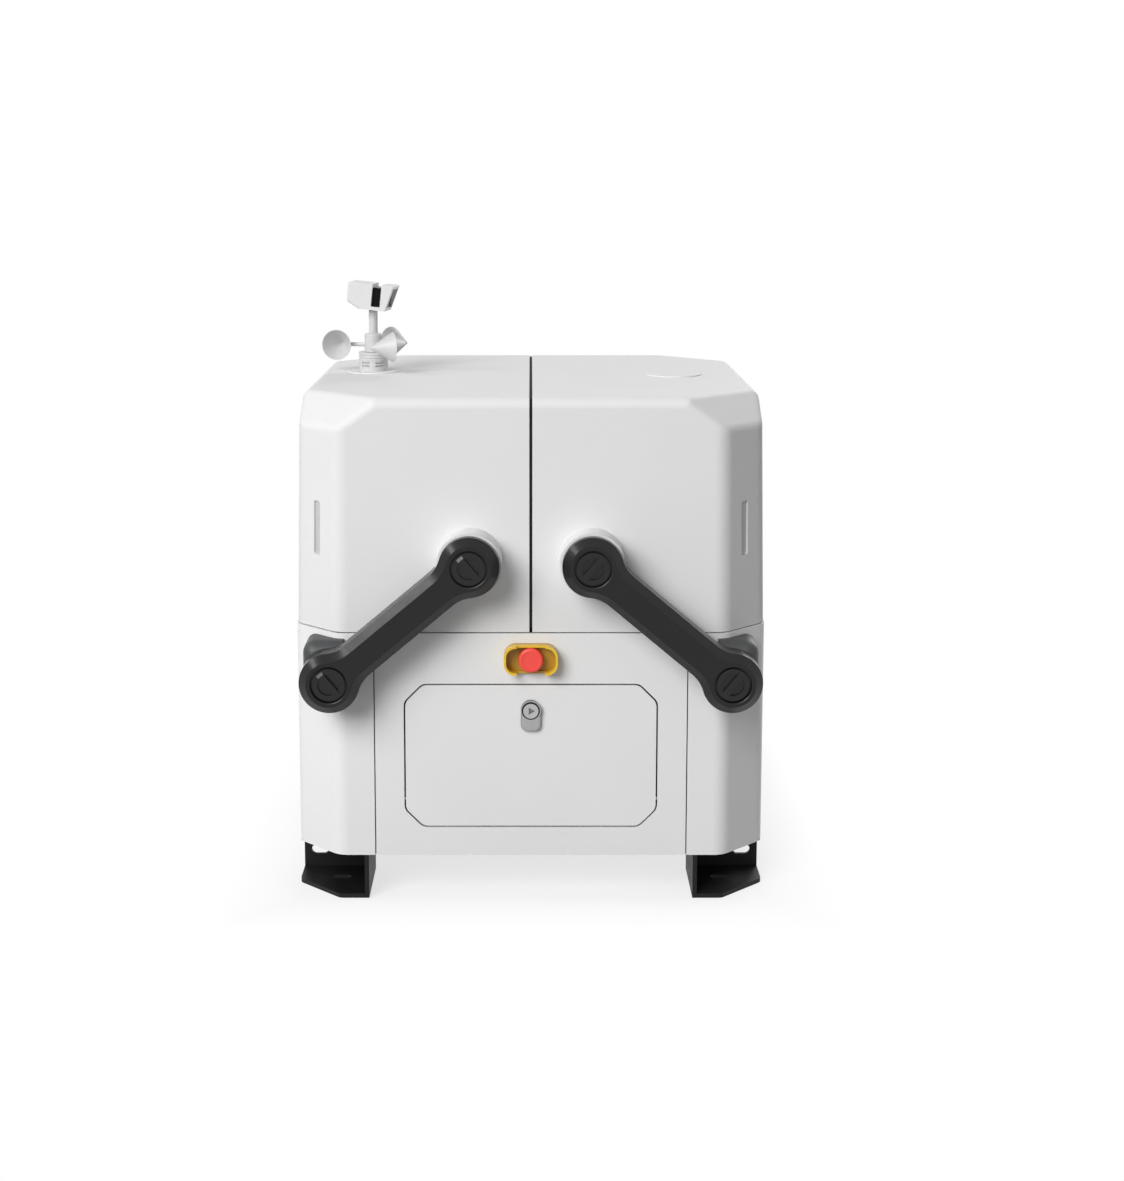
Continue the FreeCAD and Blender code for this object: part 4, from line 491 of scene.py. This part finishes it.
class DOCK_OT_arms(bpy.types.Operator):
    """Paint the crank arms, their caps, the drive housings and the shafts"""

    bl_idname = "dock.arms"
    bl_label = "Arms and drive"

    def execute(self, context):
        colours = settings("finishes")
        cast = surface_finish("arm_satin_black", colours.arm, 0.29, mottle=0.12, grain=700.0, bump=0.03,
                              spread=0.02, specular=0.34)
        paint(cast, *both_sides("front_arm", "rear_arm"))
        cap_black = shade(colours.arm, 1.2)[:3]
        cap = surface_finish("cap_black", cap_black, 0.32, mottle=0.1, grain=900.0, bump=0.03, spread=0.02,
                             specular=0.36)
        paint(cap, *both_sides("arm_caps"))
        housing = surface_finish("housing_grey", colours.housing, 0.5, mottle=0.1, grain=800.0, bump=0.15)
        paint(housing, "drive_housings")
        steel = surface_finish("turned_steel", colours.steel, 0.28, metallic=1.0, mottle=0.06, grain=500.0,
                               stretch=(8, 1, 8), bump=0.08)
        paint(steel, "bracket_bolts", "estop_plunger", "door_hinge_pins")
        paint(steel, *both_sides("drive_shaft", "cover_axles"))
        bronze = surface_finish("bearing_bronze", colours.bronze, 0.35, metallic=1.0, mottle=0.1, grain=600.0)
        paint(bronze, "shaft_bearings")
        pulley = surface_finish("pulley_alloy", colours.pulley, 0.4, metallic=1.0, mottle=0.08, grain=700.0)
        paint(pulley, "fixed_pulleys")
        motor = surface_finish("motor_casting", colours.motor, 0.5, metallic=0.4, mottle=0.15, grain=500.0,
                               bump=0.3)
        paint(motor, *both_sides("drive_motor"))
        return {"FINISHED"}


class DOCK_OT_fittings(bpy.types.Operator):
    """Paint the brackets, the stop button, the lock and the cable glands"""

    bl_idname = "dock.fittings"
    bl_label = "Brackets and fittings"

    def execute(self, context):
        colours = settings("finishes")
        bracket = surface_finish("bracket_black", colours.bracket, 0.5, mottle=0.2, grain=650.0, bump=0.2,
                                 specular=0.22)
        paint(bracket, "front_left_bracket", "front_right_bracket", "rear_left_bracket", "rear_right_bracket")
        yellow = surface_finish("guard_yellow", colours.guard, 0.38, mottle=0.04, grain=900.0, bump=0.05)
        # Painted shade in the guard's hollow, deeper towards its back
        paint_shade_behind(yellow, "estop_guard", colours.guard_painted_shade, start=0.004, end=0.019, share=0.7)
        paint(yellow, "estop_guard")
        red = surface_finish("stop_red", colours.stop, 0.34, mottle=0.04, grain=900.0, bump=0.05)
        paint(red, "estop_head")
        metal = surface_finish("lock_brushed_metal", colours.lock, 0.38, metallic=0.85, mottle=0.06,
                               grain=600.0, stretch=(1, 1, 12), bump=0.08)
        paint(metal, "lock_cam")
        worn = surface_finish("lock_housing_metal", colours.lock, 0.42, metallic=0.8, mottle=0.12,
                              grain=420.0, bump=0.2)
        # Painted shade on the lock housing: darker the deeper it lies behind its front
        paint_shade_behind(worn, "lock_housing", colours.painted_shade, start=0.0015, end=0.005, share=0.85)
        paint(worn, "lock_housing")
        bright = surface_finish("lock_face_metal", colours.key_face, 0.3, metallic=0.9, mottle=0.05,
                                grain=500.0, stretch=(12, 1, 1), bump=0.06)
        # Painted shade in the lock cylinder's recesses: darker the deeper it lies behind its front
        paint_shade_behind(bright, "lock_cylinder", colours.painted_shade, start=0.0009, end=0.0025, share=0.65)
        paint(bright, "lock_cylinder")
        nylon = surface_finish("gland_nylon", colours.nylon, 0.5, mottle=0.1, grain=800.0, bump=0.12)
        paint(nylon, "cable_glands", "estop_contact_block")
        return {"FINISHED"}


class DOCK_OT_inside(bpy.types.Operator):
    """Paint the landing deck and what stands inside the base"""

    bl_idname = "dock.inside"
    bl_label = "Deck and inside"

    def execute(self, context):
        colours = settings("finishes")
        deck = surface_finish("deck_alloy", colours.deck, 0.6, metallic=0.4, mottle=0.06, grain=800.0,
                              bump=0.1)
        paint(deck, "landing_deck")
        pad_black = shade(colours.rubber, 1.6)[:3]
        paint(pad_finish("landing_rubber", pad_black, colours.mark), "landing_pad")
        ramp = surface_finish("ramp_grey", colours.ramp, 0.5, mottle=0.08, grain=700.0, bump=0.12)
        paint(ramp, "centring_ramps")
        brass = surface_finish("contact_brass", colours.brass, 0.25, metallic=1.0, mottle=0.06, grain=500.0,
                               stretch=(12, 1, 1))
        paint(brass, "charging_contacts")
        paint(rubber_finish("seal_rubber", 0.7), "rim_seal", *both_sides("centre_seal", "arm_belts"))
        zinc = surface_finish("zinc_sheet", colours.zinc, 0.42, metallic=0.8, mottle=0.15, grain=120.0,
                              bump=0.03)
        paint(zinc, "base_floor_pan", "equipment_cabinet")
        module = surface_finish("module_alloy", colours.module, 0.45, metallic=0.6, mottle=0.06, grain=900.0,
                                bump=0.06)
        paint(module, "power_supply", "cooling_unit")
        dark = surface_finish("module_black", colours.module_black, 0.52, mottle=0.1, grain=800.0, bump=0.15)
        paint(dark, "control_unit", "backup_battery", "cooling_fan")
        return {"FINISHED"}


class DOCK_OT_mast(bpy.types.Operator):
    """Paint the wind gauge and the camera"""

    bl_idname = "dock.mast"
    bl_label = "Wind gauge and camera"

    def execute(self, context):
        colours = settings("finishes")
        grey = surface_finish("gauge_grey", colours.gauge, 0.45, mottle=0.02, grain=1200.0, bump=0.05)
        paint(grey, "wind_gauge_base", "wind_rotor", "camera_mast")
        camera_white = shade(colours.gauge, 1.15)[:3]
        white = surface_finish("camera_white", camera_white, 0.4, mottle=0.015, grain=1200.0, bump=0.05)
        paint(white, "camera_housing", "camera_bezel")
        black = surface_finish("lens_black", colours.lens_black, 0.25, mottle=0.1, grain=900.0, bump=0.02,
                               specular=0.08)
        paint(black, "camera_core")
        return {"FINISHED"}


class DOCK_OT_seams(bpy.types.Operator):
    """Add the rubber strips in the base's upright seams: a flattened round section carried up each seam"""

    bl_idname = "dock.seams"
    bl_label = "Seam strips"

    def execute(self, context):
        trim = settings("trim")
        low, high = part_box("front_panel")
        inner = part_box("right_side_shell")[0].x
        seam = (high.x + inner) / 2
        half = (inner - high.x) / 2
        deepness = 1.6
        profile = round_profile(half, flat=deepness)
        bottom, top = low.z + trim.seam_inset, high.z - trim.seam_inset
        grids = []
        for side in (-1, 1):
            for end in (-1, 1):
                x, y = side * seam, end * (abs(low.y) - trim.seam_depth - half * deepness)
                grids.append(straight_bar((x, y, bottom), (x, y, top), SEAM_POINTS, (1.0, 0.0, 0.0), profile,
                                          (0, 1, 0)))
        piece = add_piece("seam_strips", grids, "base", rubber_finish("seam_rubber", 0.7))
        return {"FINISHED"}


class DOCK_OT_gasket(bpy.types.Operator):
    """Add the door's rain gasket: a half-round bead with a flange, carried up, over the top and down"""

    bl_idname = "dock.gasket"
    bl_label = "Door gasket"

    def execute(self, context):
        trim = settings("trim")
        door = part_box("cabinet_door")[1]
        reach, top, corner = door.x + trim.gasket_gap, door.z + trim.gasket_gap, trim.gasket_corner
        start = JOINTS["door_hinge"]["pos_m"][2] + trim.gasket_rise
        corners = [(-reach, start), (-reach, top - corner), (-reach + corner, top), (reach - corner, top),
                   (reach, top - corner), (reach, start)]
        path = rounded_path(corners, trim.gasket_bend, steps=7, closed=False)
        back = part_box("front_panel")[0].y + trim.gasket_depth
        outwards = standing(-path_sides(path, closed=False), 0.0)
        bead, flange, root = trim.gasket_bead, trim.flange_width, trim.flange_root
        edge, shoulder = bead * 0.7, bead * 0.9
        angle = np.linspace(1.5 * math.pi, 0.5 * math.pi, num=9)
        bulb = np.stack([bead * np.cos(angle), bead + bead * np.sin(angle)], -1)
        foot = np.array([[flange, 0.0], [flange, edge], [root, shoulder]])
        profile = np.concatenate([bulb, foot])
        grids = [carried_profile(standing(path, back), outwards, profile, (0, 1, 0), closed=False)]
        piece = add_piece("door_gasket", grids, "base", rubber_finish("gasket_rubber", 0.65, bump=0.12))
        return {"FINISHED"}


class DOCK_OT_rim_bead(bpy.types.Operator):
    """Replace the plain rim seal by a bulb seal: an open circle on a flat foot, carried round the rim"""

    bl_idname = "dock.rim_bead"
    bl_label = "Rim bead"

    def execute(self, context):
        trim = settings("trim")
        low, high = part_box("rim_seal")
        quarter = [(high.x, high.y - trim.rim_corner), (high.x - trim.rim_corner, high.y)]
        corners = quarter + [(-x, y) for x, y in quarter[::-1]]
        corners += [(-x, -y) for x, y in quarter] + [(x, -y) for x, y in quarter[::-1]]
        path = rounded_path(corners, trim.rim_bend, steps=8, closed=True)
        inwards = lying(-path_sides(path, closed=True), 0.0)
        width, thin, height = trim.rim_width, trim.rim_foot, high.z - low.z
        radius = height * 0.42
        angle = np.linspace(-0.25 * math.pi, 1.25 * math.pi, num=15)
        bulb = np.stack([width / 2 + radius * np.cos(angle), height - radius + radius * np.sin(angle)], -1)
        foot = np.array([[0.0, thin], [0.0, 0.0], [width, 0.0], [width, thin]])
        profile = np.concatenate([bulb, foot])
        grids = [carried_profile(lying(path, low.z), inwards, profile, (0, 0, 1), closed=True)]
        piece = add_piece("rim_bead", grids, "base", rubber_finish("rim_rubber", 0.65, bump=0.12))
        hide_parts("rim_seal")
        return {"FINISHED"}


class DOCK_OT_split_lip(bpy.types.Operator):
    """Add the rubber lip between the covers: a strip carried up the front, over the top and down the rear"""

    bl_idname = "dock.split_lip"
    bl_label = "Split lip"

    def execute(self, context):
        trim = settings("trim")
        low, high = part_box("left_centre_seal")
        deep = trim.lip_wall - trim.lip_sink
        top, foot = high.z + deep, high.y + deep
        head = foot - trim.lip_lean
        corners = [(-foot, low.z), (-head, top), (head, top), (foot, low.z)]
        path = rounded_path(corners, trim.lip_bend, steps=9, closed=False)
        inwards = fore_and_aft(path_sides(path, closed=False), 0.0)
        half = trim.lip_half_width
        face, chamfer = half * 0.7, half * 0.3
        profile = np.array([[0.0, -face], [0.0, face], [chamfer, half], [deep, half], [deep, -half],
                            [chamfer, -half]])
        grids = [carried_profile(fore_and_aft(path, 0.0), inwards, profile, (1, 0, 0), closed=False)]
        rubber = rubber_finish("lip_rubber", 0.8, bump=0.1, specular=0.1)
        piece = add_piece("split_lip", grids, "left_cover", rubber, smooth=False)
        return {"FINISHED"}


class DOCK_OT_lock_ring(bpy.types.Operator):
    """Add the rubber ring in the groove round the lock cylinder: a torus about the cylinder's axis"""

    bl_idname = "dock.lock_ring"
    bl_label = "Lock ring"

    def execute(self, context):
        section = settings("trim").lock_ring_radius
        groove, sink = section * 1.1, section * 1.6
        low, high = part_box("lock_cylinder")
        middle = (low.z + high.z) / 2
        radius = (high.z - low.z) / 2 + groove
        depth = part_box("lock_housing")[0].y + sink
        angle = np.linspace(0, 2 * math.pi, RING_POINTS, endpoint=False)
        spokes = np.stack([np.cos(angle), np.sin(angle)], -1)
        path = standing(radius * spokes + (0.0, middle), depth)
        grids = [carried_profile(path, standing(spokes, 0.0), round_profile(section), (0, 1, 0), closed=True)]
        rubber = rubber_finish("ring_rubber", 0.75, bump=0.1, specular=0.1)
        piece = add_piece("lock_ring", grids, "door", rubber)
        return {"FINISHED"}


class DOCK_OT_belts(bpy.types.Operator):
    """Replace the plain belt loops by toothed belts: a racetrack whose inside is a clipped sine wave"""

    bl_idname = "dock.belts"
    bl_label = "Toothed belts"

    def execute(self, context):
        trim = settings("trim")
        inner, width = trim.belt_inner, trim.belt_width
        steepness = 1.6
        rubber = rubber_finish("belt_rubber", 0.6, grain=500.0, bump=0.12)
        for side in ("left", "right"):
            low_pivot = np.array(JOINTS[side + "_arm_swing"]["pos_m"])[[0, 2]]
            high_pivot = np.array(JOINTS[side + "_cover_level"]["pos_m"])[[0, 2]]
            span = np.linalg.norm(high_pivot - low_pivot)
            ahead = (high_pivot - low_pivot) / span
            up = np.array([-ahead[1], ahead[0]])
            turn = math.pi * inner
            around = 2 * span + 2 * turn
            teeth = int(round(around / trim.tooth_pitch))
            travel = np.linspace(0, around, teeth * TOOTH_POINTS, endpoint=False)
            run, angle = self.loop(travel, span, turn)
            centre = low_pivot + run[:, None] * ahead
            outward = np.cos(angle)[:, None] * ahead + np.sin(angle)[:, None] * up
            wave = np.clip(steepness * np.sin(travel / around * teeth * 2 * math.pi), -0.5, 0.5) + 0.5
            inside = inner + trim.tooth_height * wave
            outside = np.full_like(inside, inner + trim.belt_thickness)
            section = ((inside, 0.0), (outside, 0.0), (outside, width), (inside, width))
            quads = grid_faces(len(travel), len(section), wrap_rows=True, wrap_columns=True)
            box_low, box_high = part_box(side + "_arm_belts")
            grids = []
            for start in (box_low.y, box_high.y - width):
                rings = [standing(centre + outward * radius[:, None], start + across)
                         for radius, across in section]
                grids.append((np.stack(rings, 1), quads, []))
            piece = add_piece(side + "_toothed_belts", grids, side + "_arms", rubber, smooth=False)
            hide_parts(side + "_arm_belts")
        return {"FINISHED"}

    @staticmethod
    def loop(travel, span, turn):
        """Place on a racetrack by distance: straight run, half turn, run back, half turn.

        Returns the run along the line of centres and the outward angle."""
        stations = [0, span, span + turn, 2 * span + turn, 2 * span + 2 * turn]
        quarter = math.pi / 2
        run = np.interp(travel, stations, [0, span, span, 0, 0])
        angle = np.interp(travel, stations, [quarter, quarter, -quarter, -quarter, -3 * quarter])
        return run, angle


class DOCK_OT_blades(bpy.types.Operator):
    """Add the louvre blades in the rear vent: a slanted section carried across the opening"""

    bl_idname = "dock.blades"
    bl_label = "Vent blades"

    def execute(self, context):
        trim = settings("trim")
        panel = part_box("rear_panel")[0].y
        fan_low, fan_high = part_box("cooling_fan")
        middle = (fan_low.z + fan_high.z) / 2
        reach, front, back = trim.blade_reach, trim.blade_front, trim.blade_back
        rise, sheet = trim.blade_rise, trim.blade_sheet
        slope = np.array([[front, rise], [front, rise - sheet], [back, -rise], [back, sheet - rise]])
        grids = []
        for index in range(trim.blade_count):
            z = middle + (index - (trim.blade_count - 1) / 2) * trim.blade_pitch
            grids.append(straight_bar((-reach, panel, z), (reach, panel, z), BLADE_POINTS, (0.0, 1.0, 0.0),
                                      slope, (0, 0, 1)))
        black = surface_finish("blade_black", settings("finishes").bracket, 0.5, mottle=0.1, grain=700.0,
                               bump=0.1)
        piece = add_piece("vent_blades", grids, "base", black, smooth=False)
        return {"FINISHED"}


class DOCK_OT_stage(bpy.types.Operator):
    """Set the floor, the white surroundings, the lamps and the camera"""

    bl_idname = "dock.stage"
    bl_label = "Stage"

    def execute(self, context):
        stage = settings("stage")
        scene = context.scene
        scene.view_settings.view_transform = "Standard"
        self.add_floor(stage.floor_reach, stage.floor_drop)
        self.add_sky(stage.sky_strength)
        self.add_lamp("key_light", stage.key_place, stage.aim, stage.key_size, stage.key_power)
        self.add_lamp("side_light", stage.side_place, stage.aim, stage.side_size, stage.side_power)
        self.add_lamp("back_light", stage.back_place, stage.aim, stage.back_size, stage.back_power)
        camera = bpy.data.cameras.new("photo_camera")
        camera.sensor_fit = "VERTICAL" if PHOTO_SIZE[1] > PHOTO_SIZE[0] else "HORIZONTAL"
        camera.sensor_width = camera.sensor_height = SENSOR_MM
        camera.lens = stage.lens
        camera.shift_x, camera.shift_y = stage.shift_x, stage.shift_y
        eye = bpy.data.objects.new("photo_camera", camera)
        eye.location = stage.eye
        eye.rotation_euler = (math.pi / 2 - stage.tilt, 0.0, 0.0)
        scene.collection.objects.link(eye)
        scene.camera = eye
        return {"FINISHED"}

    def add_floor(self, reach, drop):
        """A pale floor far larger than the view: a flat grid of points."""
        steps = np.linspace(-reach, reach, FLOOR_POINTS)
        across, back = np.meshgrid(steps, steps, indexing="ij")
        grid = np.stack([across, back, np.full_like(across, -drop)], -1)
        faces = grid_faces(FLOOR_POINTS, FLOOR_POINTS, wrap_rows=False, wrap_columns=False)[:, ::-1]
        mesh = bpy.data.meshes.new("floor")
        mesh.from_pydata(grid.reshape(-1, 3).tolist(), [], faces.tolist())
        mesh.materials.append(self.floor_finish())
        floor = bpy.data.objects.new("floor", mesh)
        bpy.context.scene.collection.objects.link(floor)

    @staticmethod
    def floor_finish():
        """White paper that shows the station's shadow close to the base and is plain white farther out."""
        material, tree, shader = new_finish("floor_white", 0.9)
        shader.inputs["Specular IOR Level"].default_value = 0.1
        where = add_node(tree, "ShaderNodeTexCoord").outputs["Object"]
        noise = add_node(tree, "ShaderNodeTexNoise", {"Vector": where}, Scale=2.0, Detail=3.0)
        ramp = add_node(tree, "ShaderNodeValToRGB", {"Fac": noise.outputs["Fac"]})
        for element, tone in zip(ramp.color_ramp.elements, FLOOR_TONES):
            element.color = (tone, tone, tone, 1.0)
        tree.links.new(ramp.outputs["Color"], shader.inputs["Base Color"])

        size = add_node(tree, "ShaderNodeVectorMath", {0: where}, operation="ABSOLUTE").outputs["Vector"]
        sides = add_node(tree, "ShaderNodeSeparateXYZ", {"Vector": size}).outputs
        reach = add_node(tree, "ShaderNodeMath", {0: sides["X"], 1: sides["Y"]}, operation="MAXIMUM")
        share = map_range(tree, reach.outputs["Value"], SHADOW_BAND, (LEAST_WHITE, 1.0))
        white = add_node(tree, "ShaderNodeEmission", Strength=1.0).outputs["Emission"]
        look = add_node(tree, "ShaderNodeMixShader", {"Fac": share, 1: shader.outputs["BSDF"], 2: white})

        bounce = (FLOOR_BOUNCE, FLOOR_BOUNCE, FLOOR_BOUNCE, 1.0)
        dull = add_node(tree, "ShaderNodeBsdfDiffuse", Color=bounce).outputs["BSDF"]
        both = add_node(tree, "ShaderNodeMixShader", {"Fac": seen_plainly(tree), 1: dull,
                                                      2: look.outputs["Shader"]})
        tree.links.new(both.outputs["Shader"], tree.nodes["Material Output"].inputs["Surface"])
        return material

    @staticmethod
    def add_sky(strength):
        """White to the camera and in reflections, and an even soft light on everything else."""
        world = bpy.data.worlds.new("studio_white")
        world.use_nodes = True
        tree = world.node_tree
        tree.nodes.clear()
        white = (1.0, 1.0, 1.0, 1.0)
        light = add_node(tree, "ShaderNodeBackground", Color=white, Strength=strength).outputs["Background"]
        plain = add_node(tree, "ShaderNodeBackground", Color=white, Strength=1.0).outputs["Background"]
        mix = add_node(tree, "ShaderNodeMixShader", {"Fac": seen_plainly(tree), 1: light, 2: plain})
        add_node(tree, "ShaderNodeOutputWorld", {"Surface": mix.outputs["Shader"]})
        bpy.context.scene.world = world

    @staticmethod
    def add_lamp(name, place, aim, size, power):
        """A square soft box that faces one point."""
        lamp = bpy.data.lights.new(name, "AREA")
        lamp.shape = "SQUARE"
        lamp.size = size
        lamp.energy = power
        holder = bpy.data.objects.new(name, lamp)
        holder.location = place
        holder.rotation_euler = (Vector(aim) - Vector(place)).to_track_quat("-Z", "Y").to_euler()
        bpy.context.scene.collection.objects.link(holder)


STEPS = (DOCK_OT_stage, DOCK_OT_shells, DOCK_OT_arms, DOCK_OT_fittings, DOCK_OT_inside, DOCK_OT_mast,
         DOCK_OT_seams, DOCK_OT_gasket, DOCK_OT_rim_bead, DOCK_OT_split_lip, DOCK_OT_lock_ring, DOCK_OT_belts,
         DOCK_OT_blades)
GROUPS = {"finishes": DockFinishes, "trim": DockTrim, "stage": DockStage}


class DOCK_PT_panel(bpy.types.Panel):
    """Steps and settings of the docking station"""

    bl_idname = "DOCK_PT_panel"
    bl_label = "Docking station"
    bl_space_type = "VIEW_3D"
    bl_region_type = "UI"
    bl_category = "Dock"

    def draw(self, context):
        for step in STEPS:
            self.layout.operator(step.bl_idname)
        for part, group in GROUPS.items():
            column = self.layout.column(align=True)
            for key in group.__annotations__:
                column.prop(settings(part), key)


def register():
    """Make the settings, steps and panel known."""
    for part, group in GROUPS.items():
        bpy.utils.register_class(group)
        setattr(bpy.types.Scene, "dock_" + part, PointerProperty(type=group))
    for step in (*STEPS, DOCK_PT_panel):
        bpy.utils.register_class(step)


def unregister():
    """Take the settings, steps and panel away again."""
    for step in reversed((*STEPS, DOCK_PT_panel)):
        bpy.utils.unregister_class(step)
    for part, group in reversed(GROUPS.items()):
        delattr(bpy.types.Scene, "dock_" + part)
        bpy.utils.unregister_class(group)


def main():
    """Dress the frame step by step."""
    register()
    for step in STEPS:
        group, name = step.bl_idname.split(".")
        getattr(getattr(bpy.ops, group), name)()


if __name__ == "__main__":
    main()
